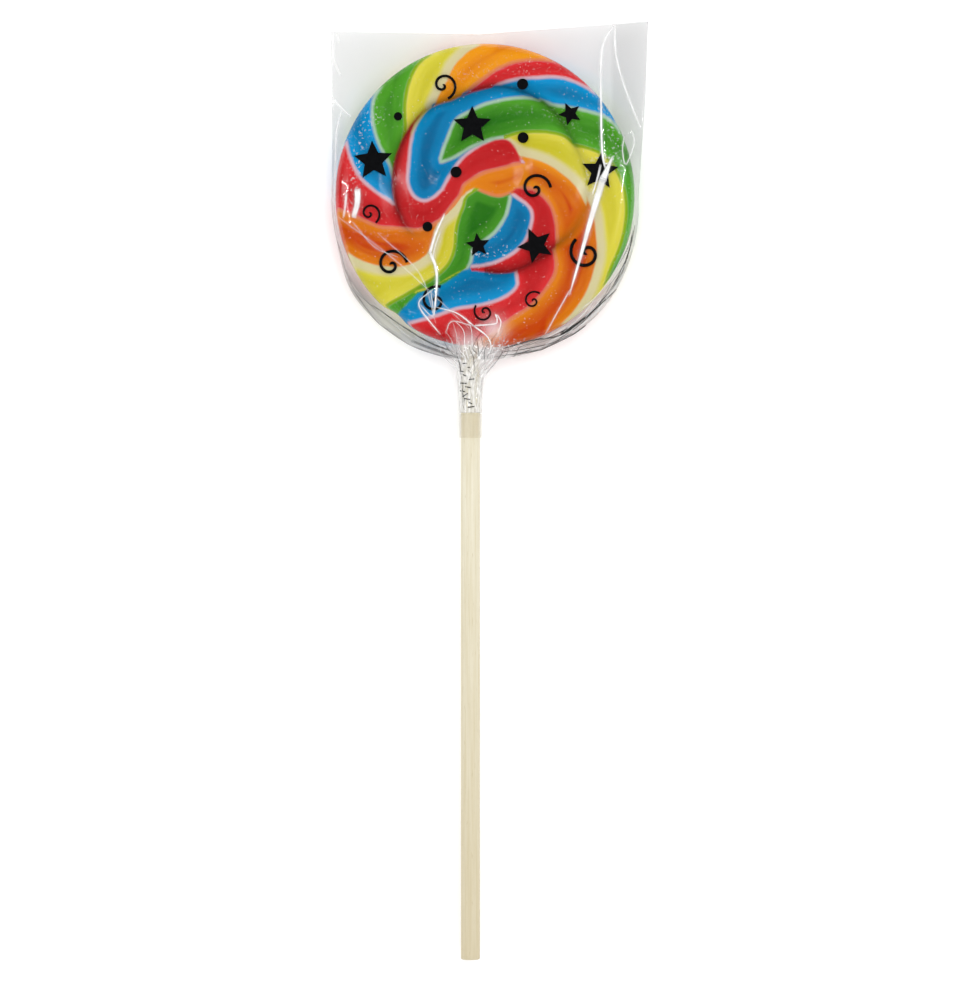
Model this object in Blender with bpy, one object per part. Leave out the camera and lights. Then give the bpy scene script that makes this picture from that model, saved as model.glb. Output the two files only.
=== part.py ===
# A swirl lollipop: a rope of hard candy wound into a disc, on a birch stick, in a clear film bag.
# It lies on its back on the XY plane: +Z is the shown face, +Y runs from the stick to the disc.
# The origin is under the middle of the disc, on the underside of the bag. Units are metres.
# Angles of the disc are clockwise degrees from +Y, seen from above.

import math

import bpy
from mathutils import Vector

MM = 0.001

# Candy disc
CANDY_RADIUS = 47.7 * MM
CANDY_OVAL = 0.35 * MM
CANDY_THICKNESS = 11.5 * MM
RIM_RADIUS = 5.0 * MM
TAIL_ANGLE = 216.5
TAIL_NOTCH = 1.1 * MM
TAIL_NOTCH_WIDTH = 4.5

# Grooves between the turns of the rope: (angle, radius in mm), from the tail at the rim inwards
TURN_GROOVE = (
    (217, 48.2),
    (216.3, 43.0),
    (215.5, 38.0),
    (209, 33.4),
    (200, 26.8),
    (188, 23.8),
    (162, 25.3),
    (130, 26.8),
    (112, 30.0),
    (92, 32.7),
    (61, 32.5),
    (33, 34.5),
    (10, 34.7),
    (-18, 32.1),
    (-32, 32.7),
    (-60, 30.8),
    (-97, 28.1),
    (-118, 26.0),
    (-127, 22.5),
)
CORE_GROOVE = (
    (100, 9.0),
    (73, 11.6),
    (56, 14.9),
    (33, 17.4),
    (5, 17.2),
    (-17, 16.2),
    (-51, 15.5),
    (-90, 15.2),
)
GROOVE_DEPTH = 2.1 * MM
GROOVE_HALF_WIDTH = 5.6 * MM
CORE_GROOVE_DEPTH = 1.3 * MM
CORE_GROOVE_HALF_WIDTH = 4.6 * MM
BACK_GROOVE_SHARE = 0.4
TURN_FADES = (0.5, 26.0)
CORE_FADES = (40.0, 25.0)
FUSED_ANGLE = 88.0
FUSED_SPREAD = 34.0
FUSED_SHARE = 0.55
HAND_WAVE = 0.12 * MM
GROOVE_STEP = 1.5

# Stick
STICK_DIAMETER = 6.0 * MM
STICK_X = -4.6 * MM
STICK_TOP_Y = -26.0 * MM
STICK_END_Y = -241.6 * MM
STICK_CHAMFER = 0.45 * MM
STICK_SIDES = 40
GAP = 0.3 * MM

# Film bag. Its flat upper half has straight edges, given as (x, y) in mm clockwise from the left
FILM_WALL = 0.35 * MM
FILM_GAP = 0.65 * MM
FILM_EDGE = 0.3 * MM
TENT_REACH = 7.0 * MM
# Rings of the bag, as shares of the way out over the disc's face and then round its rim
FACE_SHARES = (0.5, 1.0)
RIM_SHARES = (0.3, 0.6, 0.85, 1.0)
FOOT_RING = len(FACE_SHARES) + len(RIM_SHARES)
UPPER_EDGE = (
    (-48.6, -1.3),
    (-48.3, 20.0),
    (-48.8, 51.9),
    (-1.6, 51.0),
    (51.6, 55.1),
    (50.7, 30.4),
    (48.6, -1.3),
)
TOP_CORNERS = (UPPER_EDGE[2], UPPER_EDGE[4])
# Its lower half follows the disc, as (angle, radius in mm) from the left side to the right
LOWER_EDGE = (
    (268.5, 48.62),
    (250, 49.4),
    (235, 52.0),
    (221, 52.6),
    (208, 52.9),
    (190, 52.4),
    (174.8, 51.8),
    (160, 51.9),
    (145, 52.0),
    (130, 51.5),
    (114, 50.2),
    (91.5, 48.62),
)

# Neck of the bag, from its mouth down the stick: (y, left x, right x, half thickness) in mm
NECK_RINGS = (
    (-51.6, -9.3, 4.8, 4.9),
    (-54.2, -9.0, 2.4, 4.5),
    (-57.6, -8.75, -0.3, 4.05),
    (-62.8, -8.45, -0.8, 3.75),
    (-68.7, -8.27, -0.93, 3.67),
)
NECK_COLUMNS = 10

# Clear tape on the stick under the neck
TAPE_TOP_Y = -69.0 * MM
TAPE_END_Y = -76.6 * MM
TAPE_WALL = 0.3 * MM

MID_HEIGHT = CANDY_THICKNESS / 2 + FILM_GAP + FILM_WALL
FACE = CANDY_THICKNESS / 2
RIM_CENTRE_Z = FACE - RIM_RADIUS


def clear_objects():
    for item in list(bpy.data.objects):
        bpy.data.objects.remove(item, do_unlink=True)


def material(name, colour, roughness, alpha=1.0):
    made = bpy.data.materials.new(name)
    made.use_nodes = True
    shader = made.node_tree.nodes["Principled BSDF"]
    shader.inputs["Base Color"].default_value = (*colour, 1.0)
    shader.inputs["Roughness"].default_value = roughness
    shader.inputs["Metallic"].default_value = 0.0
    shader.inputs["Alpha"].default_value = alpha
    made.diffuse_color = (*colour, alpha)
    return made


def add_object(name, points, faces, finish):
    mesh = bpy.data.meshes.new(name)
    mesh.from_pydata([tuple(point) for point in points], [], faces)
    mesh.validate()
    mesh.materials.append(finish)
    mesh.shade_smooth()
    mesh.set_sharp_from_angle(angle=math.radians(40))
    made = bpy.data.objects.new(name, mesh)
    bpy.context.collection.objects.link(made)
    return made


def polar(angle, radius):
    turn = math.radians(angle)
    return Vector((radius * math.sin(turn), radius * math.cos(turn)))


def bump(angle, centre, spread):
    away = (angle - centre + 180) % 360 - 180
    return math.exp(-((away / spread) ** 2))


def smooth_value(points, at):
    """Value at an angle of a smooth curve through (angle, value) points whose angles fall."""
    at = min(max(at, points[-1][0]), points[0][0])
    index = next(i for i in range(len(points) - 1) if at >= points[i + 1][0])
    (a0, v0), (a1, v1) = points[index], points[index + 1]
    before = points[max(index - 1, 0)]
    after = points[min(index + 2, len(points) - 1)]
    share = (at - a0) / (a1 - a0)
    slope0 = (v1 - before[1]) / (a1 - before[0]) * (a1 - a0)
    slope1 = (after[1] - v0) / (after[0] - a0) * (a1 - a0)
    s2, s3 = share**2, share**3
    return (
        (2 * s3 - 3 * s2 + 1) * v0
        + (s3 - 2 * s2 + share) * slope0
        + (3 * s2 - 2 * s3) * v1
        + (s3 - s2) * slope1
    )


def groove_line(points, fades):
    """Points along a groove, each with its depth share, which fades over some degrees at each end."""
    first, last = points[0][0], points[-1][0]
    count = math.ceil((first - last) / GROOVE_STEP)
    line = []
    for step in range(count + 1):
        angle = first - (first - last) * step / count
        radius = smooth_value(points, angle) * MM
        share = min((first - angle) / fades[0], (angle - last) / fades[1], 1.0)
        share *= 1 - FUSED_SHARE * bump(angle, FUSED_ANGLE, FUSED_SPREAD)
        line.append((polar(angle, radius), share))
    return line


def crease(line, spot, depth, half_width):
    """Depth of a groove at a spot: a sharp valley whose sides round off over half_width."""
    deepest = 0.0
    for (start, share0), (end, share1) in zip(line, line[1:]):
        along = end - start
        part = min(max((spot - start).dot(along) / along.length_squared, 0.0), 1.0)
        away = (spot - start - along * part).length
        if away < half_width:
            share = share0 + (share1 - share0) * part
            deepest = max(deepest, depth * share * (1 - away / half_width) ** 2)
    return deepest


def oval_radius(angle):
    return CANDY_RADIUS + CANDY_OVAL * math.cos(math.radians(2 * angle))


def rim_radius(angle):
    return oval_radius(angle) - TAIL_NOTCH * bump(angle, TAIL_ANGLE, TAIL_NOTCH_WIDTH)


def candy_angles():
    """Columns every 5 degrees, and every 2.5 where the tail's groove meets the rim."""
    return [a * 2.5 for a in range(144) if a % 2 == 0 or 200 <= a * 2.5 <= 230]


def turn_radius(angle):
    """Radius of the mesh line that follows the outer groove, and closes the circle past the tail."""
    first, last = TURN_GROOVE[0], TURN_GROOVE[-1]
    wrapped = angle if angle <= first[0] else angle - 360
    if wrapped >= last[0]:
        radius = smooth_value(TURN_GROOVE, wrapped)
    else:
        share = (last[0] - wrapped) / (last[0] + 360 - first[0])
        radius = last[1] + (first[1] - last[1]) * share
    return min(radius * MM, rim_radius(angle) - 1.3 * RIM_RADIUS)


def core_radius(angle):
    first, last = CORE_GROOVE[0], CORE_GROOVE[-1]
    wrapped = angle if angle <= first[0] else angle - 360
    if wrapped >= last[0]:
        return smooth_value(CORE_GROOVE, wrapped) * MM
    share = (last[0] - wrapped) / (last[0] + 360 - first[0])
    return (last[1] + (first[1] - last[1]) * share) * MM


def candy_radii(angle):
    """Radii of one column, dense at the two grooves and over the rounded rim."""
    core, turn, rim = core_radius(angle), turn_radius(angle), rim_radius(angle)
    inner = [core * share for share in (0.45, 0.8, 1.0)]
    middle = [core + (turn - core) * share for share in (0.14, 0.5, 0.78, 0.92, 1.0)]
    outer = [turn + (rim - turn) * share for share in (0.1, 0.28, 0.6)]
    rounded = [
        rim - RIM_RADIUS * (1 - math.sin(math.radians(part))) for part in (15, 38, 60, 78)
    ]
    if outer[-1] > rounded[0]:
        outer = [turn + (rounded[0] - turn) * share for share in (0.2, 0.5, 0.8)]
    return inner + middle + outer + rounded


def rim_drop(radius, rim):
    """Height of the face above the middle plane, with the rounded rim."""
    past = radius - (rim - RIM_RADIUS)
    if past <= 0:
        return FACE
    return RIM_CENTRE_Z + math.sqrt(max(RIM_RADIUS**2 - past**2, 0.0))


def hand_wave(spot):
    x, y = spot / CANDY_RADIUS
    return HAND_WAVE * math.sin(5.1 * x + 2.3 * y + 0.7) * math.cos(4.3 * y - 2.9 * x)


def candy_height(spot, radius, angle, lines):
    """Height of the front face over the middle plane, and the depth of its grooves there."""
    top = rim_drop(radius, rim_radius(angle))
    share = (top - RIM_CENTRE_Z) / (FACE - RIM_CENTRE_Z)
    depth = crease(lines[0], spot, GROOVE_DEPTH, GROOVE_HALF_WIDTH)
    depth = max(depth, crease(lines[1], spot, CORE_GROOVE_DEPTH, CORE_GROOVE_HALF_WIDTH))
    return top, (depth + HAND_WAVE + hand_wave(spot)) * max(share, 0.0)


def make_candy(finish):
    """The wound disc: two faces on one grid of columns and rings, joined at the rim."""
    lines = (groove_line(TURN_GROOVE, TURN_FADES), groove_line(CORE_GROOVE, CORE_FADES))
    angles = candy_angles()
    columns = len(angles)
    rings = len(candy_radii(0))
    front, back = [], []
    for angle in angles:
        for radius in candy_radii(angle):
            spot = polar(angle, radius)
            top, depth = candy_height(spot, radius, angle, lines)
            front.append((spot.x, spot.y, MID_HEIGHT + top - depth))
            back.append((spot.x, spot.y, MID_HEIGHT - top + depth * BACK_GROOVE_SHARE))
    equator = []
    for angle in angles:
        spot = polar(angle, rim_radius(angle))
        equator.append((spot.x, spot.y, MID_HEIGHT))
    heart = candy_height(Vector((0, 0)), 0.0, 0.0, lines)
    poles = [
        (0, 0, MID_HEIGHT + heart[0] - heart[1]),
        (0, 0, MID_HEIGHT - heart[0] + heart[1] * BACK_GROOVE_SHARE),
    ]
    points = front + back + equator + poles
    back_start = len(front)
    rim_start = back_start * 2
    top_pole = rim_start + columns
    faces = []
    for column in range(columns):
        after = (column + 1) % columns
        here, there = column * rings, after * rings
        faces.append((top_pole, there, here))
        faces.append((top_pole + 1, back_start + here, back_start + there))
        for ring in range(rings - 1):
            a, b = here + ring, there + ring
            faces.append((a, b, b + 1, a + 1))
            faces.append((back_start + a, back_start + a + 1, back_start + b + 1, back_start + b))
        last_a, last_b = here + rings - 1, there + rings - 1
        faces.append((last_a, last_b, rim_start + after, rim_start + column))
        faces.append(
            (back_start + last_a, rim_start + column, rim_start + after, back_start + last_b)
        )
    return add_object("candy", points, faces, finish)


def make_rod(name, radius, top_y, end_y, finish):
    """A round rod along Y through the disc's middle plane."""
    bpy.ops.mesh.primitive_cylinder_add(
        vertices=STICK_SIDES,
        radius=radius,
        depth=top_y - end_y,
        location=(STICK_X, (top_y + end_y) / 2, MID_HEIGHT),
        rotation=(math.pi / 2, 0, 0),
    )
    rod = bpy.context.object
    rod.name = name
    rod.data.name = name
    rod.data.materials.append(finish)
    rod.data.shade_smooth()
    rod.data.set_sharp_from_angle(angle=math.radians(40))
    return rod


def cut_socket(candy, finish):
    """The blind hole in the candy that holds the stick."""
    cutter = make_rod(
        "socket_cutter",
        STICK_DIAMETER / 2 + GAP,
        STICK_TOP_Y + GAP,
        -CANDY_RADIUS - RIM_RADIUS,
        finish,
    )
    cutter.hide_render = True
    cutter.display_type = "WIRE"
    cut = candy.modifiers.new("Socket", "BOOLEAN")
    cut.operation = "DIFFERENCE"
    cut.solver = "EXACT"
    cut.object = cutter


def make_stick(finish):
    stick = make_rod("stick", STICK_DIAMETER / 2, STICK_TOP_Y, STICK_END_Y, finish)
    edge = stick.modifiers.new("End chamfer", "BEVEL")
    edge.width = STICK_CHAMFER
    edge.segments = 2
    edge.limit_method = "ANGLE"
    edge.angle_limit = math.radians(60)
    return stick


def outline_radius(angle):
    """Radius of the bag's outline: a smooth curve below, and straight edges above."""
    if LOWER_EDGE[-1][0] < angle < LOWER_EDGE[0][0]:
        return smooth_value(LOWER_EDGE, angle) * MM
    corners = [Vector(point) * MM for point in UPPER_EDGE]
    ray = polar(angle, 1.0)
    reach = 0.0
    for start, end in zip(corners, corners[1:]):
        side = end - start
        turn = ray.cross(side)
        part = start.cross(ray) / turn
        if -1e-6 <= part <= 1 + 1e-6:
            reach = max(reach, start.cross(side) / turn)
    return reach


def corner_angle(point):
    return math.degrees(math.atan2(point[0], point[1])) % 360


def neck_spot(ring, share, wall):
    """A point of the neck on the front half of one ring: share runs from its right to its left."""
    y, left, right, half = (value * MM for value in ring)
    turn = math.pi * share
    centre = (left + right) / 2
    x = centre + (right - centre - wall) * math.cos(turn)
    return Vector((x, y, (half - wall) * math.sin(turn)))


def film_columns():
    """Columns round the disc as (angle, neck share): the share is None away from the neck."""
    y, left_x, right_x, _ = NECK_RINGS[0]
    right, left = corner_angle((right_x, y)), corner_angle((left_x, y))
    corners = [corner_angle(point) for point in TOP_CORNERS]
    around = [step * 5.0 for step in range(72)]
    around = [a for a in around if min(abs(a - c) for c in corners) > 2.5]
    around = [a for a in around if not right - 3 < a < left + 3]
    columns = [(angle, None) for angle in around + corners]
    for step in range(NECK_COLUMNS + 1):
        share = step / NECK_COLUMNS
        spot = neck_spot(NECK_RINGS[0], share, 0.0)
        columns.append((corner_angle(spot), share))
    return sorted(columns)


def film_column(angle, share, inner):
    """One column of the bag as (radius, height) pairs, over the disc's face and rim to the edge."""
    wall = FILM_WALL if inner else 0.0
    rim = oval_radius(angle)
    reach = RIM_RADIUS + FILM_GAP + FILM_WALL - wall
    centre = rim - RIM_RADIUS
    edge = outline_radius(angle)
    if share is None:
        foot = min(edge - FILM_WALL, rim + TENT_REACH)
        foot = max(foot - 2 * wall, centre + reach + 0.02 * MM)
        height = 0.0 if inner else FILM_EDGE
    else:
        mouth = neck_spot(NECK_RINGS[0], share, wall)
        foot = math.hypot(mouth.x, mouth.y)
        height = max(mouth.z, 0.0)
    across, up = foot - centre, height - RIM_CENTRE_Z
    span = math.hypot(across, up)
    tangent = math.atan2(up, across) + math.acos(min(reach / span, 1.0))
    pairs = [(centre * part, RIM_CENTRE_Z + reach) for part in FACE_SHARES]
    for part in RIM_SHARES:
        turn = math.pi / 2 - (math.pi / 2 - tangent) * part
        pairs.append((centre + reach * math.cos(turn), RIM_CENTRE_Z + reach * math.sin(turn)))
    pairs.append((foot, height))
    if share is None and not inner:
        pairs.append((edge, 0.0))
    return pairs


def film_sheet(columns, inner):
    """Columns of points of the front half, from the middle of the face to the edge or neck's end."""
    sheet = []
    for angle, share in columns:
        column = []
        for radius, height in film_column(angle, share, inner):
            spot = polar(angle, radius)
            column.append(Vector((spot.x, spot.y, height)))
        if share is not None:
            wall = FILM_WALL if inner else 0.0
            column[-1] = neck_spot(NECK_RINGS[0], share, wall)
            column += [neck_spot(ring, share, wall) for ring in NECK_RINGS[1:]]
        sheet.append(column)
    return sheet


def stitch(face, points, faces):
    """Adds a face with its repeated points dropped, unless too few are left."""
    kept = []
    for point in face:
        if point not in kept:
            kept.append(point)
    if len(kept) > 2:
        faces.append(tuple(kept))


def skin(columns, inner, points, faces):
    """One closed skin of the bag, front and back, open at the neck. Returns its last neck ring."""
    sheet = film_sheet(columns, inner)
    shares = [share for _, share in columns]
    front, back = [], []
    for column, share in zip(sheet, shares):
        upper, lower = [], []
        for index, point in enumerate(column):
            on_edge = share is None and index == len(column) - 1
            neck_side = share in (0.0, 1.0) and point.z < 1e-9
            upper.append(len(points))
            points.append((point.x, point.y, MID_HEIGHT + point.z))
            if on_edge or neck_side:
                lower.append(upper[-1])
            else:
                lower.append(len(points))
                points.append((point.x, point.y, MID_HEIGHT - point.z))
        front.append(upper)
        back.append(lower)
    height = max(point.z for point in sheet[0])
    pole = len(points)
    points.append((0, 0, MID_HEIGHT + height))
    points.append((0, 0, MID_HEIGHT - height))
    count = len(columns)
    flip = -1 if inner else 1
    for here in range(count):
        there = (here + 1) % count
        for side, centre, turn in ((front, pole, 1), (back, pole + 1, -1)):
            a, b = side[here], side[there]
            stitch((centre, a[0], b[0])[:: -turn * flip], points, faces)
            shared = min(len(a), len(b))
            if (shares[here] is None) != (shares[there] is None):
                shared = FOOT_RING + 1
            for ring in range(shared - 1):
                quad = (a[ring], b[ring], b[ring + 1], a[ring + 1])
                stitch(quad[:: turn * flip], points, faces)
            if not inner and shares[here] is None and shares[there] is not None:
                stitch((a[FOOT_RING], b[FOOT_RING], a[-1])[:: turn * flip], points, faces)
            if not inner and shares[here] is not None and shares[there] is None:
                stitch((a[FOOT_RING], b[FOOT_RING], b[-1])[:: turn * flip], points, faces)
    neck = [i for i, share in enumerate(shares) if share is not None]
    ring = [front[i][-1] for i in neck] + [back[i][-1] for i in reversed(neck[1:-1])]
    return ring


def make_wrapper(finish):
    """The film bag as a thin wall: an outer and an inner skin that meet round the stick."""
    columns = film_columns()
    points, faces = [], []
    outer = skin(columns, False, points, faces)
    inner = skin(columns, True, points, faces)
    for here in range(len(outer)):
        there = (here + 1) % len(outer)
        faces.append((outer[here], outer[there], inner[there], inner[here]))
    return add_object("wrapper", points, faces, finish)


def make_tape(finish):
    """A short sleeve of clear tape round the stick, turned from its wall's outline."""
    inside = STICK_DIAMETER / 2 + GAP
    outside = inside + TAPE_WALL
    profile = (
        (inside, TAPE_TOP_Y),
        (outside, TAPE_TOP_Y),
        (outside, TAPE_END_Y),
        (inside, TAPE_END_Y),
    )
    points, faces = [], []
    for side in range(STICK_SIDES):
        turn = 2 * math.pi * side / STICK_SIDES
        for radius, y in profile:
            x = STICK_X + radius * math.cos(turn)
            points.append((x, y, MID_HEIGHT + radius * math.sin(turn)))
    for side in range(STICK_SIDES):
        here, there = side * 4, (side + 1) % STICK_SIDES * 4
        for corner in range(4):
            after = (corner + 1) % 4
            faces.append((here + corner, there + corner, there + after, here + after))
    return add_object("neck_tape", points, faces, finish)


def build_lollipop():
    clear_objects()
    sugar = material("Hard candy", (0.72, 0.12, 0.05), 0.12)
    birch = material("Birch dowel", (0.76, 0.66, 0.45), 0.6)
    film = material("Clear polypropylene film", (0.92, 0.93, 0.94), 0.08, alpha=0.25)
    tape = material("Clear tape", (0.93, 0.92, 0.88), 0.15, alpha=0.3)
    candy = make_candy(sugar)
    cut_socket(candy, sugar)
    make_stick(birch)
    make_wrapper(film)
    make_tape(tape)


build_lollipop()
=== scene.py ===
import math
import random

import bpy
import numpy as np
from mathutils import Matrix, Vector, noise


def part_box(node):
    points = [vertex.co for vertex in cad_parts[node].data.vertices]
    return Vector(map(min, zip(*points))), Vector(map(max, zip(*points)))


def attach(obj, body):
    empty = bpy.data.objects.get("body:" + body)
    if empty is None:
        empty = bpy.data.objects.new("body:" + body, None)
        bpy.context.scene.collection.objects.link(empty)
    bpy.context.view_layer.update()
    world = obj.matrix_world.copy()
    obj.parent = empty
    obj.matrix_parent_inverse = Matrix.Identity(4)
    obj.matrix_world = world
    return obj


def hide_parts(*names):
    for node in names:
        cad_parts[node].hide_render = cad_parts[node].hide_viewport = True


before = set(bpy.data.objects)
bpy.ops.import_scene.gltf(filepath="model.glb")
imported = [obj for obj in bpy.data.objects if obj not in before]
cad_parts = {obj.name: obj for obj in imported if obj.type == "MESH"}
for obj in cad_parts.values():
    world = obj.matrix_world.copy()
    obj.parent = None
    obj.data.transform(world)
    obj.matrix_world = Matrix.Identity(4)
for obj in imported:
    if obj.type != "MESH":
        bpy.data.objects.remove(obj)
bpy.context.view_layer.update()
mm = 0.001
print("frame loaded")

# Places on the disc are read off the photograph in pixels, 980 x 981, and turned into the part's millimetres
photo = {"millimetresPerPixel": 0.31667, "discCentre": (485, 196), "width": 980, "height": 981}


def toPart(x, y):
    scale = photo["millimetresPerPixel"]
    return ((x - photo["discCentre"][0]) * scale, (photo["discCentre"][1] - y) * scale)


def linear(hexText):
    # sRGB hex to linear colour
    parts = [int(hexText[i:i + 2], 16) / 255 for i in (1, 3, 5)]
    return (*[p / 12.92 if p <= 0.04045 else ((p + 0.055) / 1.055) ** 2.4 for p in parts], 1.0)


def addNode(tree, kind, links=None, **settings):
    # one node with its settings; links holds sockets or values by input name or number
    node = tree.nodes.new(kind)
    for name, value in settings.items():
        setattr(node, name, value)
    for name, value in (links or {}).items():
        if isinstance(value, bpy.types.NodeSocket):
            tree.links.new(value, node.inputs[name])
        else:
            node.inputs[name].default_value = value
    return node


def newMaterial(name):
    made = bpy.data.materials.new(name)
    made.use_nodes = True
    made.node_tree.nodes.clear()
    return made, made.node_tree


def newTree(name, inputs):
    # a Geometry Nodes tree with named inputs; returns it with its group input and output
    tree = bpy.data.node_groups.new(name, "GeometryNodeTree")
    tree.interface.new_socket(name="Geometry", in_out="INPUT", socket_type="NodeSocketGeometry")
    for label, kind in inputs:
        tree.interface.new_socket(name=label, in_out="INPUT", socket_type=kind)
    tree.interface.new_socket(name="Geometry", in_out="OUTPUT", socket_type="NodeSocketGeometry")
    return tree, addNode(tree, "NodeGroupInput"), addNode(tree, "NodeGroupOutput")


def newObject(name, mesh):
    made = bpy.data.objects.new(name, mesh)
    bpy.context.scene.collection.objects.link(made)
    return made


def growMesh(name, tree, values, start=None):
    # runs a tree on a start mesh and keeps the result as a plain mesh object
    carrier = newObject(name + "Carrier", start or bpy.data.meshes.new(name + "Start"))
    modifier = carrier.modifiers.new("Grow", "NODES")
    modifier.node_group = tree
    for item in tree.interface.items_tree:
        if item.in_out == "INPUT" and item.name in values:
            modifier[item.identifier] = values[item.name]
    bpy.context.view_layer.update()
    depsgraph = bpy.context.evaluated_depsgraph_get()
    mesh = bpy.data.meshes.new_from_object(carrier.evaluated_get(depsgraph), depsgraph=depsgraph)
    mesh.name = name
    bpy.data.objects.remove(carrier, do_unlink=True)
    return newObject(name, mesh)


def finishPiece(piece, slotName, *nodes):
    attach(piece, "root")
    if nodes:
        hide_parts(*nodes)


def addAttribute(mesh, name, values):
    layer = mesh.attributes.new(name, "FLOAT", "POINT")
    layer.data.foreach_set("value", np.ascontiguousarray(values, dtype=np.float32))


def meshPoints(mesh):
    flat = np.zeros(len(mesh.vertices) * 3)
    mesh.vertices.foreach_get("co", flat)
    return flat.reshape(-1, 3)


# Curves in the plane of the disc, in millimetres. Angles are clockwise degrees from +Y

farAway = 1e9
tiny = 1e-9
sliver = 1e-6

def smoothLine(points, step):
    # points about a step apart on a smooth curve through the given ones
    given = np.array(points, float)
    line = []
    for i in range(len(given) - 1):
        b, c = given[i], given[i + 1]
        a = given[i - 1] if i else 2 * b - c
        d = given[i + 2] if i + 2 < len(given) else 2 * c - b
        count = max(2, int(np.hypot(*(c - b)) / step))
        for k in range(count):
            t = k / count
            spot = 2 * b + (c - a) * t
            spot = spot + (2 * a - 5 * b + 4 * c - d) * t**2
            spot = spot + (3 * b - a - 3 * c + d) * t**3
            line.append(0.5 * spot)
    line.append(given[-1])
    return np.array(line)


def smoothValue(points, at):
    # value of a smooth curve through (angle, value) points whose angles fall
    at = min(max(at, points[-1][0]), points[0][0])
    i = next(i for i in range(len(points) - 1) if at >= points[i + 1][0])
    (a0, v0), (a1, v1) = points[i], points[i + 1]
    before, after = points[max(i - 1, 0)], points[min(i + 2, len(points) - 1)]
    s = (at - a0) / (a1 - a0)
    m0 = (v1 - before[1]) / (a1 - before[0]) * (a1 - a0)
    m1 = (after[1] - v0) / (after[0] - a0) * (a1 - a0)
    value = (2 * s**3 - 3 * s**2 + 1) * v0 + (s**3 - 2 * s**2 + s) * m0
    value = value + (3 * s**2 - 2 * s**3) * v1
    return value + (s**3 - s**2) * m1


def photoLine(points, step):
    # a smooth line through pixels of the photograph, in mm
    return np.array([toPart(*p) for p in smoothLine(points, step)])


def polar(angle, radius):
    turn = math.radians(angle)
    return np.array((radius * math.sin(turn), radius * math.cos(turn)))


def lineDistance(spots, line):
    # distance to a line, positive left of its travel, and how far along it the nearest point is
    best = np.full(len(spots), farAway)
    side = np.zeros(len(spots))
    along = np.zeros(len(spots))
    run = 0.0
    for a, b in zip(line, line[1:]):
        d = b - a
        length = math.hypot(*d)
        if length < tiny:
            continue
        rel = spots - a
        part = np.clip(rel @ d / length**2, 0, 1)
        away = np.hypot(*(rel - part[:, None] * d).T)
        cross = (d[0] * rel[:, 1] - d[1] * rel[:, 0]) / length
        level = (np.abs(away - best) <= tiny) & (np.abs(cross) > np.abs(side))
        take = (away < best - tiny) | level
        best = np.where(take, away, best)
        side = np.where(take, cross, side)
        along = np.where(take, run + part * length, along)
        run += length
    return best * np.where(side >= 0, 1, -1), along / run


# Candy disc

low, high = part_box("candy")
disc = {
    "middle": (low.z + high.z) / 2,
    "half": (high.z - low.z) / 2,
    "radius": (high.x - low.x + high.y - low.y) / 4,
    "oval": (high.y - low.y - high.x + low.x) / 4,
    "rim": 5.0 * mm,
    "wallSteepness": 4.0,
    "tailAngle": 216.5,
    "tailNotch": 1.1 * mm,
    "tailWidth": 4.5,
    "columns": 460,
    "rings": 208,
    "ringShares": (0.6, 0.14, 0.26),    # of the rings: on the face, round the rim and on the back
    "weld": 0.001 * mm,
    "turnDepth": 2.1 * mm,
    "turnHalfWidth": 5.6 * mm,
    "coreDepth": 1.3 * mm,
    "coreHalfWidth": 4.6 * mm,
    "backShare": 0.4,                   # depth of the back's grooves to the front's
    "wave": 0.24 * mm,
    "waveLength": 22 * mm,
    "socketClearance": 0.1 * mm,
    "drillReach": -1.2,                 # the drill's lower end, in radii from the middle
    "drillSides": 64,
    "twist": 20,                        # degrees that the stripes run on by, from the front to the back
    "twistSpan": 1.4,                   # rim radii over which they do so
    "twistRadius": 20,                  # mm; inside it they run on by less
}
radiusMm, ovalMm = disc["radius"] / mm, disc["oval"] / mm

# grooves between the turns of the rope: (angle, radius), and degrees over which they fade at each end
turnGroove = (
    (217, 48.2), (216.3, 43.0), (215.5, 38.0), (209, 33.4), (200, 26.8), (188, 23.8), (162, 25.3),
    (130, 26.8), (112, 30.0), (92, 32.7), (61, 32.5), (33, 34.5), (10, 34.7), (-18, 32.1),
    (-32, 32.7), (-60, 30.8), (-97, 28.1), (-118, 26.0), (-127, 22.5),
)
coreGroove = (
    (100, 9.0), (73, 11.6), (56, 14.9), (33, 17.4), (5, 17.2), (-17, 16.2), (-51, 15.5), (-90, 15.2),
)
grooveFades = {"turn": (0.5, 26.0), "core": (40.0, 25.0)}
fused = {"angle": 88.0, "spread": 34.0, "share": 0.55}     # the turns have run together here
# painted shade along the grooves between the turns, where shade falls
paintedShadeReach = {"reach": 3.0, "fused": 0.8, "end": -127, "fade": 26}     # how far a groove's deeper colour goes


def grooveObject(name, points, fades):
    # a line of edges along a groove, with its depth share on each point
    first, last = points[0][0], points[-1][0]
    count = int(first - last)
    spots, shares = [], []
    for k in range(count + 1):
        angle = first - (first - last) * k / count
        away = ((angle - fused["angle"] + 180) % 360 - 180) / fused["spread"]
        share = min((first - angle) / fades[0], (angle - last) / fades[1], 1.0)
        spots.append((*polar(angle, smoothValue(points, angle) * mm), 0))
        shares.append(share * (1 - fused["share"] * math.exp(-away**2)))
    mesh = bpy.data.meshes.new(name)
    mesh.from_pydata(spots, [(k, k + 1) for k in range(count)], [])
    addAttribute(mesh, "share", shares)
    return newObject(name, mesh)


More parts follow.
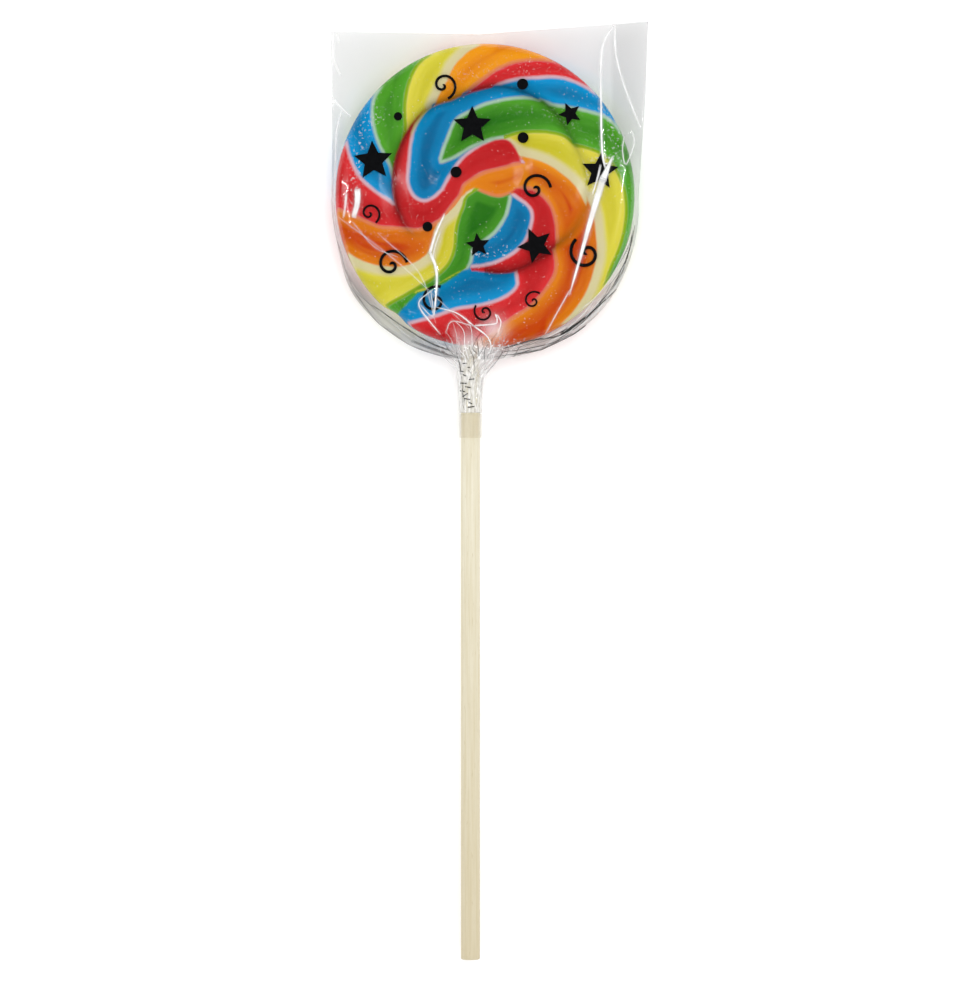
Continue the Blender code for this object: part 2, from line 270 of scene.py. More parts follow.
# Sums of the disc's tree: a name, a Math operation and its terms, which are numbers, inputs or earlier sums.
# The grid's width runs round the disc; its height runs out over the face, round the rim and back in
faceRings, rimRings, backRings = disc["ringShares"]
profileSums = (
    ("angle", "MULTIPLY", "u", math.tau),
    ("twice", "MULTIPLY", "angle", 2.0),
    ("cosTwice", "COSINE", "twice"),
    ("round", "MULTIPLY_ADD", "cosTwice", "Oval", "Radius"),
    ("fromTail", "SUBTRACT", "angle", "Tail Angle"),
    ("tailPart", "DIVIDE", "fromTail", "Tail Width"),
    ("tailSquare", "MULTIPLY", "tailPart", "tailPart"),
    ("tailFall", "MULTIPLY", "tailSquare", -1.0),
    ("tailBump", "EXPONENT", "tailFall"),
    ("tailDip", "MULTIPLY", "tailBump", "Tail Notch"),
    ("edge", "SUBTRACT", "round", "tailDip"),
    ("faceEnd", "SUBTRACT", "edge", "Rim Radius"),
    ("out", "ADD", "v", 0.5),
    ("frontPart", "DIVIDE", "out", faceRings),
    ("in", "SUBTRACT", 1.0, "out"),
    ("backPart", "DIVIDE", "in", backRings),
    ("nearer", "MINIMUM", "frontPart", "backPart"),
    ("flatPart", "MINIMUM", "nearer", 1.0),
    ("pastFace", "SUBTRACT", "out", faceRings),
    ("rimPart", "DIVIDE", "pastFace", rimRings),
    ("rimLow", "MAXIMUM", "rimPart", 0.0),
    ("rimShare", "MINIMUM", "rimLow", 1.0),
    ("rimTurn", "MULTIPLY", "rimShare", math.pi),
    ("rimSine", "SINE", "rimTurn"),
    ("rimCosine", "COSINE", "rimTurn"),
    ("flat", "MULTIPLY", "faceEnd", "flatPart"),
    ("reach", "MULTIPLY_ADD", "rimSine", "Rim Radius", "flat"),
    ("wall", "SUBTRACT", "Half Thickness", "Rim Radius"),
    ("steep", "MULTIPLY", "rimCosine", disc["wallSteepness"]),
    ("steepLow", "MAXIMUM", "steep", -1.0),
    ("steepBoth", "MINIMUM", "steepLow", 1.0),
    ("wallZ", "MULTIPLY", "steepBoth", "wall"),
    ("z", "MULTIPLY_ADD", "rimCosine", "Rim Radius", "wallZ"),
    ("sine", "SINE", "angle"),
    ("cosine", "COSINE", "angle"),
    ("x", "MULTIPLY", "reach", "sine"),
    ("y", "MULTIPLY", "reach", "cosine"),
    ("height", "ABSOLUTE", "z"),
    ("aboveWall", "SUBTRACT", "height", "wall"),
    ("facePart", "DIVIDE", "aboveWall", "Rim Radius"),
    ("face", "MAXIMUM", "facePart", 0.0),
    ("sign", "SIGN", "z"),
)
grooveSums = (      # for the groove between the turns, and again for the core's
    ("part", "DIVIDE", "Away", "Half Width"),
    ("near", "SUBTRACT", 1.0, "part"),
    ("in", "MAXIMUM", "near", 0.0),
    ("square", "POWER", "in", 2.0),
    ("deep", "MULTIPLY", "square", "Depth"),
    ("groove", "MULTIPLY", "deep", "Share"),
)
reliefSums = (
    ("deepest", "MAXIMUM", "Turn groove", "Core groove"),
    ("dip", "MULTIPLY_ADD", "noise", "Wave", "deepest"),
    ("dipHere", "MULTIPLY", "dip", "face"),
    ("isFront", "MULTIPLY_ADD", "sign", 0.5, 0.5),
    ("frontGain", "SUBTRACT", 1.0, "Back Share"),
    ("sideShare", "MULTIPLY_ADD", "isFront", "frontGain", "Back Share"),
    ("dipSide", "MULTIPLY", "dipHere", "sideShare"),
    ("dipZ", "MULTIPLY", "dipSide", "sign"),
    ("offZ", "SUBTRACT", "z", "dipZ"),
    ("finalZ", "ADD", "offZ", "Middle Height"),
    ("socketLow", "MULTIPLY", "Radius", disc["drillReach"]),
    ("socketDepth", "SUBTRACT", "Socket Top", "socketLow"),
    ("socketSum", "ADD", "Socket Top", "socketLow"),
    ("socketY", "MULTIPLY", "socketSum", 0.5),
)


def woundDiscTree():
    sizes = ("Radius", "Oval", "Half Thickness", "Rim Radius", "Middle Height", "Tail Angle", "Tail Width",
             "Tail Notch", "Turn Depth", "Turn Half Width", "Core Depth", "Core Half Width", "Back Share",
             "Wave", "Socket Radius", "Socket Top", "Socket X")
    inputs = [(label, "NodeSocketFloat") for label in sizes]
    inputs += [("Columns", "NodeSocketInt"), ("Rings", "NodeSocketInt")]
    inputs += [("Turn Groove", "NodeSocketObject"), ("Core Groove", "NodeSocketObject")]
    inputs += [("Finish", "NodeSocketMaterial")]
    tree, given, result = newTree("woundDisc", inputs)
    known = {label: given.outputs[label] for label, kind in inputs}
    grid = addNode(tree, "GeometryNodeMeshGrid", {
        "Size X": 1.0, "Size Y": 1.0, "Vertices X": known["Columns"], "Vertices Y": known["Rings"]})
    spot = addNode(tree, "GeometryNodeInputPosition")
    split = addNode(tree, "ShaderNodeSeparateXYZ", {0: spot.outputs[0]})
    known["u"], known["v"] = split.outputs["X"], split.outputs["Y"]
    for name, operation, *terms in profileSums:
        links = {i: known.get(term, term) for i, term in enumerate(terms)}
        known[name] = addNode(tree, "ShaderNodeMath", links, operation=operation).outputs[0]
    flat = addNode(tree, "ShaderNodeCombineXYZ", {"X": known["x"], "Y": known["y"], "Z": 0.0}).outputs[0]
    sums = []
    for label in ("Turn", "Core"):
        line = addNode(tree, "GeometryNodeObjectInfo", {
            "Object": known[label + " Groove"]}).outputs["Geometry"]
        near = addNode(tree, "GeometryNodeProximity", {
            0: line, "Sample Position": flat}, target_element="EDGES")
        index = addNode(tree, "GeometryNodeSampleNearest", {0: line, "Sample Position": flat}).outputs[0]
        share = addNode(tree, "GeometryNodeInputNamedAttribute", {"Name": "share"}).outputs[0]
        sampled = addNode(tree, "GeometryNodeSampleIndex", {0: line, 1: share, "Index": index}).outputs[0]
        known[label + " Away"], known[label + " Share"] = near.outputs["Distance"], sampled
        for name, operation, *terms in grooveSums:
            own = [f"{label} {term}" if isinstance(term, str) else term for term in terms]
            sums.append((f"{label} {name}", operation, *own))
    # poured sugar is never quite flat
    known["noise"] = addNode(tree, "ShaderNodeTexNoise", {
        "Vector": flat, "Scale": 1 / disc["waveLength"], "Detail": 1.5}).outputs[0]
    for name, operation, *terms in (*sums, *reliefSums):
        links = {i: known.get(term, term) for i, term in enumerate(terms)}
        known[name] = addNode(tree, "ShaderNodeMath", links, operation=operation).outputs[0]
    place = addNode(tree, "ShaderNodeCombineXYZ", {"X": known["x"], "Y": known["y"], "Z": known["finalZ"]})
    bent = addNode(tree, "GeometryNodeSetPosition", {
        "Geometry": grid.outputs[0], "Position": place.outputs[0]})
    closed = addNode(tree, "GeometryNodeMergeByDistance", {
        "Geometry": bent.outputs[0], "Distance": disc["weld"]})
    # blind hole for the stick
    drill = addNode(tree, "GeometryNodeMeshCylinder", {
        "Vertices": disc["drillSides"], "Radius": known["Socket Radius"], "Depth": known["socketDepth"]})
    centre = addNode(tree, "ShaderNodeCombineXYZ", {
        "X": known["Socket X"], "Y": known["socketY"], "Z": known["Middle Height"]})
    laid = addNode(tree, "GeometryNodeTransform", {
        "Geometry": drill.outputs[0], "Translation": centre.outputs[0], "Rotation": (math.pi / 2, 0, 0)})
    cut = addNode(tree, "GeometryNodeMeshBoolean", {0: closed.outputs[0], 1: laid.outputs[0]},
                  operation="DIFFERENCE", solver="MANIFOLD")
    smooth = addNode(tree, "GeometryNodeSetShadeSmooth", {"Geometry": cut.outputs[0]})
    whole = addNode(tree, "GeometryNodeRealizeInstances", {"Geometry": smooth.outputs[0]})
    painted = addNode(tree, "GeometryNodeSetMaterial", {
        "Geometry": whole.outputs[0], "Material": known["Finish"]})
    tree.links.new(painted.outputs[0], result.inputs[0])
    return tree


# Stripes. Five colours follow each other round the rope, always in this order, so the edge with number n
# has colour n - 1 on its left and colour n on its right
colourOrder = ("blue", "green", "yellow", "orange", "red")
# edges of the outer turn: (angle, share of the way from the groove to the rim)
outerEdges = {
    5: ((-98, 0), (-94, 0.07), (-88, 0.32), (-82, 0.58), (-75, 0.8), (-68, 1)),
    6: ((-79, 0), (-72, 0.1), (-64, 0.4), (-57, 0.67), (-50, 0.9), (-43, 1)),
    7: ((-56, 0), (-49, 0.1), (-41, 0.4), (-34, 0.67), (-27, 0.9), (-20, 1)),
    8: ((-30, 0), (-23, 0.24), (-18, 0.42), (-14.5, 0.6), (-10, 0.75), (-6, 0.88), (-1, 1)),
    9: ((-12, 0), (-6, 0.1), (0, 0.23), (6.7, 0.44), (13.5, 0.64), (21, 0.83), (28, 1)),
    10: ((5, 0), (14.6, 0.21), (24, 0.43), (32.7, 0.71), (40.6, 0.88), (48, 1)),
    11: ((30, 0), (37, 0.1), (44, 0.33), (51, 0.6), (58, 0.87), (66, 1)),
    12: ((61, 0), (72, 0.48), (80, 0.65), (87.5, 0.76), (97.6, 0.84), (110, 0.89), (119.5, 0.91), (128, 1)),
    13: ((92, 0), (100, 0.21), (109, 0.41), (117.6, 0.61), (126, 0.75), (133, 0.85), (139, 0.91), (150, 1)),
    14: ((127, 0), (136, 0.28), (144, 0.4), (151, 0.48), (159, 0.57), (168, 0.65), (178, 0.84), (187, 1)),
    15: ((158, 0), (160, 0.2), (166, 0.31), (175, 0.4), (185, 0.47), (195, 0.54), (202, 0.66), (207.5, 0.79),
         (212, 1)),
}
# edges of the turns inside it, in pixels of the photograph
innerEdges = {
    -5: ((442, 191), (433, 199), (424, 202), (415, 198), (410, 190), (408, 180), (409, 165), (411, 145),
         (415, 128), (425, 112)),
    -4: ((503, 138.5), (485, 142.5), (470, 149), (455, 158), (441, 163), (442, 155), (446, 144), (455, 123),
         (468, 114), (485, 106), (505, 101), (525, 99), (540, 101)),
    -3: ((504, 138.5), (511, 136.5), (520, 134), (535, 133), (550, 134), (565, 138), (575, 147)),
    -2: ((512, 150), (522, 156), (530, 158), (545, 163), (560, 172), (575, 185), (584, 200), (587, 206)),
    -1: ((518, 188), (525, 189), (533, 190), (543, 197), (551, 207), (555.5, 221), (557, 236), (556, 250),
         (545, 265), (529, 274), (506, 280), (484, 282)),
    0: ((512, 195), (519, 200), (527, 206), (532, 215), (530, 229), (524, 243), (513, 254), (498, 262),
        (484, 266), (472, 267)),
    1: ((510, 198), (509, 205), (505, 218), (495, 233), (482, 243), (474, 248), (471, 262), (466, 270),
        (459, 276)),
    2: ((479, 188), (475, 191), (466, 198), (463, 208), (459, 219), (456, 232), (455, 246), (452, 258),
        (446, 268), (435, 278), (420, 287), (405, 296), (392, 303), (384, 308)),
    3: ((472, 192), (464, 197), (457, 207), (450, 214), (441, 222), (436, 232), (433, 245), (428, 256),
        (415, 265), (400, 269), (380, 268), (365, 264), (353, 258), (345, 252)),
    4: ((519, 165), (513, 166), (505, 169), (491, 172), (482, 175), (473, 180), (464, 187), (460, 197),
        (453, 206), (447, 214), (441, 221), (429, 228), (418, 231), (406, 230), (395, 229), (380, 228),
        (365, 222), (350, 215), (335, 209)),
}
creamEdges = (-2, 3, 8, 13)          # yellow pales to cream along these
coreEdge = (
    (442, 191), (451, 175), (462, 160), (473, 151), (485, 144), (497, 139.5), (508, 140), (517, 149),
    (523, 164),
)
coreShut = ((519, 186), (500, 197), (477, 190), (462, 180))
# its lower end again, over the bands that run on
coreOpen = ((530, 166), (526, 184), (500, 197), (475, 191), (463, 199), (452, 203))
# between these angles both turns hold the same stripes; the outer turn starts within reach of its own
ropeStart = {"outer": -118, "middle": -97, "tail": 217, "reach": 60, "wedge": -90}
stripes = {
    "underlap": 0.9,        # mm that one turn's colours reach under the other's
    "edgeStep": 3,          # pixels between points on an edge of the inner turns
    "outerStep": 2.0,       # degrees between points on an edge of the outer turn
    "shareStretch": 25.0,   # puts a share and its angle on like scales
    "pastRim": 1.12,        # radii that the outer edges are carried on to
    "beyond": 60,           # mm from the middle that the groove is carried on to
    "angleStep": 0.5,
    "grooveEvery": 3,
}


def rimAt(angle):
    return radiusMm + ovalMm * math.cos(math.radians(2 * angle))


def outerLine(points):
    # an edge of the outer turn, carried on past the rim
    line = []
    stretch = stripes["shareStretch"]
    for angle, share in smoothLine([(a, t * stretch) for a, t in points], stripes["outerStep"]):
        share = min(max(share / stretch, 0), 1)
        inner = smoothValue(turnGroove, angle)
        line.append(polar(angle, inner + (rimAt(angle) - inner) * share))
    line.append(line[-1] * stripes["pastRim"] + (line[-1] - line[-3]) * 2)
    return np.array(line)


def closedCore(shut):
    line = np.concatenate([photoLine(points, stripes["edgeStep"]) for points in (coreEdge, shut)])
    return np.concatenate((line, line[:1]))


def colourFields(spots, edges):
    # for each colour, the distance inside it in mm, or minus the distance outside it
    best = np.full(len(spots), farAway)
    own = np.zeros(len(spots), int)
    other = np.zeros(len(spots), int)
    for number, line in edges.items():
        away = lineDistance(spots, line)[0]
        take = np.abs(away) < best
        best = np.where(take, np.abs(away), best)
        left, right = (number - 1) % 5, number % 5
        own = np.where(take, np.where(away >= 0, left, right), own)
        other = np.where(take, np.where(away >= 0, right, left), other)
    fields = np.repeat(-(best + 1)[:, None], 5, axis=1)
    rows = np.arange(len(spots))
    fields[rows, other] = -best
    fields[rows, own] = best
    return fields


def stripeFields(spots, twist):
    # spots in mm; twist is how far the stripes have run round the rope there, in degrees
    angle = np.degrees(np.arctan2(spots[:, 0], spots[:, 1]))
    radius = np.hypot(*spots.T)
    tail = ropeStart["tail"]
    firstAngle, lastAngle = turnGroove[-1][0], turnGroove[0][0]
    unwrapped = np.where(angle < firstAngle, angle + 360, angle)
    angles = np.arange(firstAngle, lastAngle + 0.1, stripes["angleStep"])
    bound = np.interp(unwrapped, angles, [smoothValue(turnGroove, a) for a in angles])
    grooveLine = [polar(a, smoothValue(turnGroove, a)) for a in angles[::stripes["grooveEvery"]]]
    grooveLine = np.array(grooveLine + [polar(tail, stripes["beyond"])])
    size = np.abs(lineDistance(spots, grooveLine)[0])
    outer = np.where((unwrapped <= tail) & (radius > bound), size, -size)
    rays = {}
    for name in ("outer", "middle"):
        turn = np.radians(np.mod(angle - ropeStart[name] + 180, 360) - 180)
        rays[name] = radius * np.sin(np.clip(turn, -math.pi / 2, math.pi / 2))
    fromStart = np.mod(angle - ropeStart["outer"] + 180, 360) - 180
    nearStart = (fromStart < ropeStart["reach"]) & (fromStart > tail - 360 - ropeStart["outer"])
    middle = -outer
    wedge = (unwrapped > tail) | (unwrapped < ropeStart["wedge"])
    middle = np.where(wedge, np.maximum(middle, np.minimum(-rays["middle"], size)), middle)
    outer = np.where(nearStart, np.minimum(outer, rays["outer"]), outer)
    # the colours are read where the stripes came from
    back = np.radians(angle - twist)
    read = np.stack((radius * np.sin(back), radius * np.cos(back)), 1)
    # one turn's colours reach a little under the other's, so that no seam shows in the groove
    outer, middle = outer + stripes["underlap"], middle + stripes["underlap"]
    middle = np.minimum(middle, lineDistance(read, closedCore(coreShut))[0])
    core = -lineDistance(read, closedCore(coreOpen))[0]
    inside = {n: photoLine(line, stripes["edgeStep"]) for n, line in innerEdges.items()}
    outside = {n: outerLine(line) for n, line in outerEdges.items()}
    outside.update({n: inside[n] for n in (3, 4)})
    fields = np.minimum(colourFields(read, outside), outer[:, None])
    fields = np.maximum(fields, np.minimum(colourFields(read, inside), middle[:, None]))
    fields = np.maximum(fields, np.minimum(colourFields(read, {4: inside[4]}), core[:, None]))
    creamLines = [inside.get(n, outside.get(n)) for n in creamEdges]
    cream = np.min([np.abs(lineDistance(read, line)[0]) for line in creamLines], axis=0)
    return fields, cream, size


def boiledSugar():
    # Boiled sugar, pulled and cooled: glossy and slightly clear, with small bubbles, faint streaks along
    # each stripe and paler seams where the colours were laid side by side
    look = {
        "blue": ("#005282", "#009AD8"), "green": ("#1A6C10", "#58AC2C"), "yellow": ("#C6BC00", "#E8DE4C"),
        "orange": ("#CE4200", "#F8A014"), "red": ("#B40C12", "#E22E32"),
        "seam": "#DEB8C4", "greenSeam": "#AECEB4", "redSeam": "#E68858", "cream": "#E0D6A4",
        "limeSeam": "#92B41A", "bubble": "#F4EEE2",
        "seamWidth": 1.0, "seamNear": (-0.9, -0.35), "wobble": 0.4, "wobbleSize": 2.6 * mm,
        "streakWidth": 1.9, "streakLength": 18 * mm, "streakShare": 0.34, "streakTone": (0.28, 0.74),
        "creamWidth": (3.4, 1.4), "stripeDepth": (5.5, 0.2), "stripeShare": 0.5,
        "thinFrom": (22 * mm, 38 * mm), "thinShare": 0.36,
        # the last number sets how dark the painted groove shade gets
        "upFrom": (-6 * mm, 42 * mm), "upShare": (-0.08, 0.5), "paintedGrooveShade": 0.3,
        "bubbleSpacing": 1.5 * mm, "bubbleEdge": (0.16, 0.08), "patchSize": 7 * mm, "patchTone": (0.5, 0.66),
        "patchShare": 0.55, "grain": 0.9 * mm, "relief": 0.08 * mm, "ior": 1.5, "roughness": (0.12, 0.24),
        "specular": 0.25, "clearness": 0.12, "clearDepth": 1.2 * mm,
    }
    made, tree = newMaterial("Boiled sugar")
    place = addNode(tree, "ShaderNodeTexCoord").outputs["Object"]
    fields = {}
    for colour in (*colourOrder, "streak", "cream", "groove"):
        fields[colour] = addNode(tree, "ShaderNodeAttribute", attribute_name=colour).outputs["Fac"]
    wobble = addNode(tree, "ShaderNodeTexNoise", {
        "Vector": place, "Scale": 1 / look["wobbleSize"], "Detail": 2.0})
    shift = addNode(tree, "ShaderNodeMath", {0: wobble.outputs[0], 1: look["wobble"], 2: -look["wobble"] / 2},
                    operation="MULTIPLY_ADD")
    # streaks: fine across a stripe, long along it
    sides = addNode(tree, "ShaderNodeSeparateXYZ", {0: place})
    scaled = []
    for value, size in ((fields["streak"], look["streakWidth"]), (sides.outputs["X"], look["streakLength"]),
                        (sides.outputs["Y"], look["streakLength"])):
        scaled.append(addNode(tree, "ShaderNodeMath", {
            0: value, 1: 1 / size}, operation="MULTIPLY").outputs[0])
    run = addNode(tree, "ShaderNodeCombineXYZ", dict(zip("XYZ", scaled)))
    streak = addNode(tree, "ShaderNodeTexNoise", {"Vector": run.outputs[0], "Scale": 1.0, "Detail": 3.0})
    streakLow, streakHigh = look["streakTone"]
    tone = addNode(tree, "ShaderNodeMapRange", {0: streak.outputs[0], 1: streakLow, 2: streakHigh})
    # which seam colour lies here
    near = {}
    for colour in ("green", "yellow", "orange"):
        near[colour] = addNode(tree, "ShaderNodeMapRange", {
            0: fields[colour], 1: look["seamNear"][0], 2: look["seamNear"][1]}).outputs[0]
    lime = addNode(tree, "ShaderNodeMath", {0: near["green"], 1: near["yellow"]}, operation="MULTIPLY")
    base = linear(look["seam"])
    for factor, colour in ((near["green"], "greenSeam"), (near["orange"], "redSeam"),
                           (near["yellow"], "cream"), (lime.outputs[0], "limeSeam")):
        base = addNode(tree, "ShaderNodeMix", {0: factor, 6: base, 7: linear(look[colour])},
                       data_type="RGBA").outputs[2]
    pale = addNode(tree, "ShaderNodeMath", {0: fields["cream"], 1: shift.outputs[0]}, operation="ADD")
    creamHere = addNode(tree, "ShaderNodeMapRange", {
        0: pale.outputs[0], 1: look["creamWidth"][0], 2: look["creamWidth"][1]},
        interpolation_type="SMOOTHSTEP").outputs[0]
    # the sugar thins out towards the rim and looks lighter there
    outward = addNode(tree, "ShaderNodeVectorMath", {0: place}, operation="LENGTH")
    thinStart, thinEnd = look["thinFrom"]
    thin = addNode(tree, "ShaderNodeMapRange", {
        0: outward.outputs["Value"], 1: thinStart, 2: thinEnd, 3: 0.0, 4: look["thinShare"]},
        interpolation_type="SMOOTHSTEP")
    # the orange is deep low down and yellower towards the top
    upStart, upEnd = look["upFrom"]
    upward = addNode(tree, "ShaderNodeMapRange", {
        0: sides.outputs["Y"], 1: upStart, 2: upEnd, 3: look["upShare"][0], 4: look["upShare"][1]})
    for colour in colourOrder:
        dark, light = (linear(text) for text in look[colour])
        # a stripe is deepest in its middle and pales towards its seams
        edge = addNode(tree, "ShaderNodeMapRange", {
            0: fields[colour], 1: look["stripeDepth"][0], 2: look["stripeDepth"][1], 4: look["stripeShare"]},
            interpolation_type="SMOOTHSTEP")
        lighter = upward if colour == "orange" else thin
        paler = addNode(tree, "ShaderNodeMath", {0: edge.outputs[0], 1: lighter.outputs[0]}, operation="ADD")
        mixed = addNode(tree, "ShaderNodeMath", {
            0: tone.outputs[0], 1: look["streakShare"], 2: paler.outputs[0]},
            operation="MULTIPLY_ADD", use_clamp=True)
        shade = addNode(tree, "ShaderNodeMix", {0: mixed.outputs[0], 6: dark, 7: light}, data_type="RGBA")
        if colour == "yellow":
            shade = addNode(tree, "ShaderNodeMix", {
                0: creamHere, 6: shade.outputs[2], 7: linear(look["cream"])},
                data_type="RGBA")
        moved = addNode(tree, "ShaderNodeMath", {0: fields[colour], 1: shift.outputs[0]}, operation="ADD")
        here = addNode(tree, "ShaderNodeMapRange", {0: moved.outputs[0], 1: 0.0, 2: look["seamWidth"]},
                       interpolation_type="SMOOTHSTEP")
        base = addNode(tree, "ShaderNodeMix", {0: here.outputs[0], 6: base, 7: shade.outputs[2]},
                       data_type="RGBA").outputs[2]
    # painted shade: the colour is darkened near the grooves between turns, where shade falls
    deep = addNode(tree, "ShaderNodeMapRange", {
        0: fields["groove"], 1: 0.0, 2: 1.0, 3: 1.0, 4: look["paintedGrooveShade"]})
    base = addNode(tree, "ShaderNodeVectorMath", {
        0: base, "Scale": deep.outputs[0]}, operation="SCALE").outputs[0]
    # bubbles just under the skin, about 0.4 mm across, in patches
    cells = addNode(tree, "ShaderNodeTexVoronoi", {"Vector": place, "Scale": 1 / look["bubbleSpacing"]})
    bubble = addNode(tree, "ShaderNodeMapRange", {
        0: cells.outputs["Distance"], 1: look["bubbleEdge"][0], 2: look["bubbleEdge"][1]})
    few = addNode(tree, "ShaderNodeTexNoise", {
        "Vector": place, "Scale": 1 / look["patchSize"], "Detail": 1.0})
    patches = addNode(tree, "ShaderNodeMapRange", {
        0: few.outputs[0], 1: look["patchTone"][0], 2: look["patchTone"][1], 4: look["patchShare"]})
    speck = addNode(tree, "ShaderNodeMath", {
        0: bubble.outputs[0], 1: patches.outputs[0]}, operation="MULTIPLY")
    base = addNode(tree, "ShaderNodeMix", {0: speck.outputs[0], 6: base, 7: linear(look["bubble"])},
                   data_type="RGBA").outputs[2]
    fine = addNode(tree, "ShaderNodeTexNoise", {"Vector": place, "Scale": 1 / look["grain"], "Detail": 3.0})
    smoothest, roughest = look["roughness"]
    rough = addNode(tree, "ShaderNodeMapRange", {0: fine.outputs[0], 3: smoothest, 4: roughest})
    relief = addNode(tree, "ShaderNodeBump", {
        "Height": fine.outputs[0], "Strength": 0.2, "Distance": look["relief"]})
    shader = addNode(tree, "ShaderNodeBsdfPrincipled", {
        "Base Color": base, "Roughness": rough.outputs[0], "Normal": relief.outputs[0], "IOR": look["ior"],
        "Specular IOR Level": look["specular"], "Subsurface Weight": look["clearness"],
        "Subsurface Radius": (1.0, 0.6, 0.4), "Subsurface Scale": look["clearDepth"]})
    addNode(tree, "ShaderNodeOutputMaterial", {"Surface": shader.outputs[0]})
    return made


def makeCandy():
    helpers = [grooveObject("turnGrooveLine", turnGroove, grooveFades["turn"]),
               grooveObject("coreGrooveLine", coreGroove, grooveFades["core"])]
    stickLow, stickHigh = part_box("stick")
    clearance = disc["socketClearance"]
    piece = growMesh("candy_disc", woundDiscTree(), {
        "Radius": disc["radius"], "Oval": disc["oval"], "Half Thickness": disc["half"],
        "Rim Radius": disc["rim"], "Middle Height": disc["middle"],
        "Tail Angle": math.radians(disc["tailAngle"] - 360),
        "Tail Width": math.radians(disc["tailWidth"]), "Tail Notch": disc["tailNotch"],
        "Turn Depth": disc["turnDepth"], "Turn Half Width": disc["turnHalfWidth"],
        "Core Depth": disc["coreDepth"], "Core Half Width": disc["coreHalfWidth"],
        "Back Share": disc["backShare"], "Wave": disc["wave"],
        "Socket Radius": (stickHigh.x - stickLow.x) / 2 + clearance, "Socket Top": stickHigh.y + clearance,
        "Socket X": (stickLow.x + stickHigh.x) / 2,
        "Columns": disc["columns"] + 1, "Rings": disc["rings"] + 1,
        "Turn Groove": helpers[0], "Core Groove": helpers[1], "Finish": boiledSugar()})
    for helper in helpers:
        bpy.data.objects.remove(helper, do_unlink=True)
    mesh = piece.data
    points = meshPoints(mesh)
    spots = points[:, :2] / mm
    # over the rim the stripes run on round the rope
    share = np.clip(0.5 - (points[:, 2] - disc["middle"]) / (disc["twistSpan"] * disc["rim"]), 0, 1)
    nearMiddle = np.clip(np.hypot(*spots.T) / disc["twistRadius"], 0, 1)
    twist = disc["twist"] * share * share * (3 - 2 * share) * nearMiddle
    fields, cream, grooveAway = stripeFields(spots, -twist)
    for index, colour in enumerate(colourOrder):
        addAttribute(mesh, colour, fields[:, index])
    addAttribute(mesh, "streak", fields.max(1))
    addAttribute(mesh, "cream", cream)
    # painted shade near each groove, less where the turns have run together
    angle = np.degrees(np.arctan2(*spots.T))
    away = ((angle - fused["angle"] + 180) % 360 - 180) / fused["spread"]
    along = np.clip((angle - paintedShadeReach["end"]) / paintedShadeReach["fade"], 0, 1)
    depth = np.clip(1 - grooveAway / paintedShadeReach["reach"], 0, 1) ** 2
    addAttribute(mesh, "groove", depth * (1 - paintedShadeReach["fused"] * np.exp(-away**2)) * along)
    finishPiece(piece, "candy", "candy")
    print("candy", len(mesh.vertices), "points")
    return piece


candyPiece = makeCandy()


# Film bag

bag = {
    "gap": 0.35 * mm, "wall": 0.35 * mm, "edge": 0.15 * mm, "tent": 7.0 * mm,
    "columns": 224, "upperRows": 94, "lowerRows": 84, "neckRows": 34,
    "footRoom": 0.02,               # mm that the film's foot keeps from the rim's curve
    "roundFrom": 0.6,               # share of the lower rows past which their points bunch at both ends
    "wave": 0.16 * mm, "waveSizes": (14, 6), "waveLayers": (3.0, 9.0), "smallWave": 0.5,
    "calmHeight": 3,                # mm over the middle plane at which the film has its full waves
    "highest": (6.85, 6.65),        # front and back, in mm
    # the back's painted highlight and painted glints are this share of the front's
    "backShare": 0.3,               # whitening and glitter of the back to the front's
}
# outline of the flat upper half, clockwise from the left, and of the lower half as (angle, radius)
upperEdge = (
    (-48.6, -1.3), (-48.3, 20.0), (-48.8, 51.9), (-1.6, 51.0), (51.6, 55.1), (50.7, 30.4), (48.6, -1.3),
)
lowerEdge = (
    (268.5, 48.62), (250, 49.4), (235, 52.0), (221, 52.6), (208, 52.9), (190, 52.4),
    (174.8, 51.8), (160, 51.9), (145, 52.0), (130, 51.5), (114, 50.2), (91.5, 48.62),
)
neckRings = (   # y, left x, right x, half thickness
    (-51.6, -9.3, 4.8, 4.9), (-54.2, -9.0, 2.4, 4.5), (-57.6, -8.75, -0.3, 4.05),
    (-62.8, -8.45, -0.8, 3.75), (-68.7, -8.27, -0.93, 3.67),
)
neck = {
    "pleats": 9, "pleatDepth": 0.3, "pleatRun": 1.15, "pleatShare": 0.9, "evenDepth": 0.6,
    "stray": 2.5, "start": 0.6,                 # radians that a pleat strays by, and that the first starts at
    "narrowest": 0.86, "stickRoom": 3.3,        # least share of the width, and least half thickness in mm
    # scale of the noise round the neck, and per mm down it
    "wobble": (1.6, 0.05), "crumple": (5, 0.22), "fine": (11, 0.8),
    # painted highlight and painted shade on the crumples of the neck
    "white": (0.44, 0.42, 0.3), "paintedHighlightRange": (0.12, 0.85), "dark": (0.22, 1.8, 0.3),
}
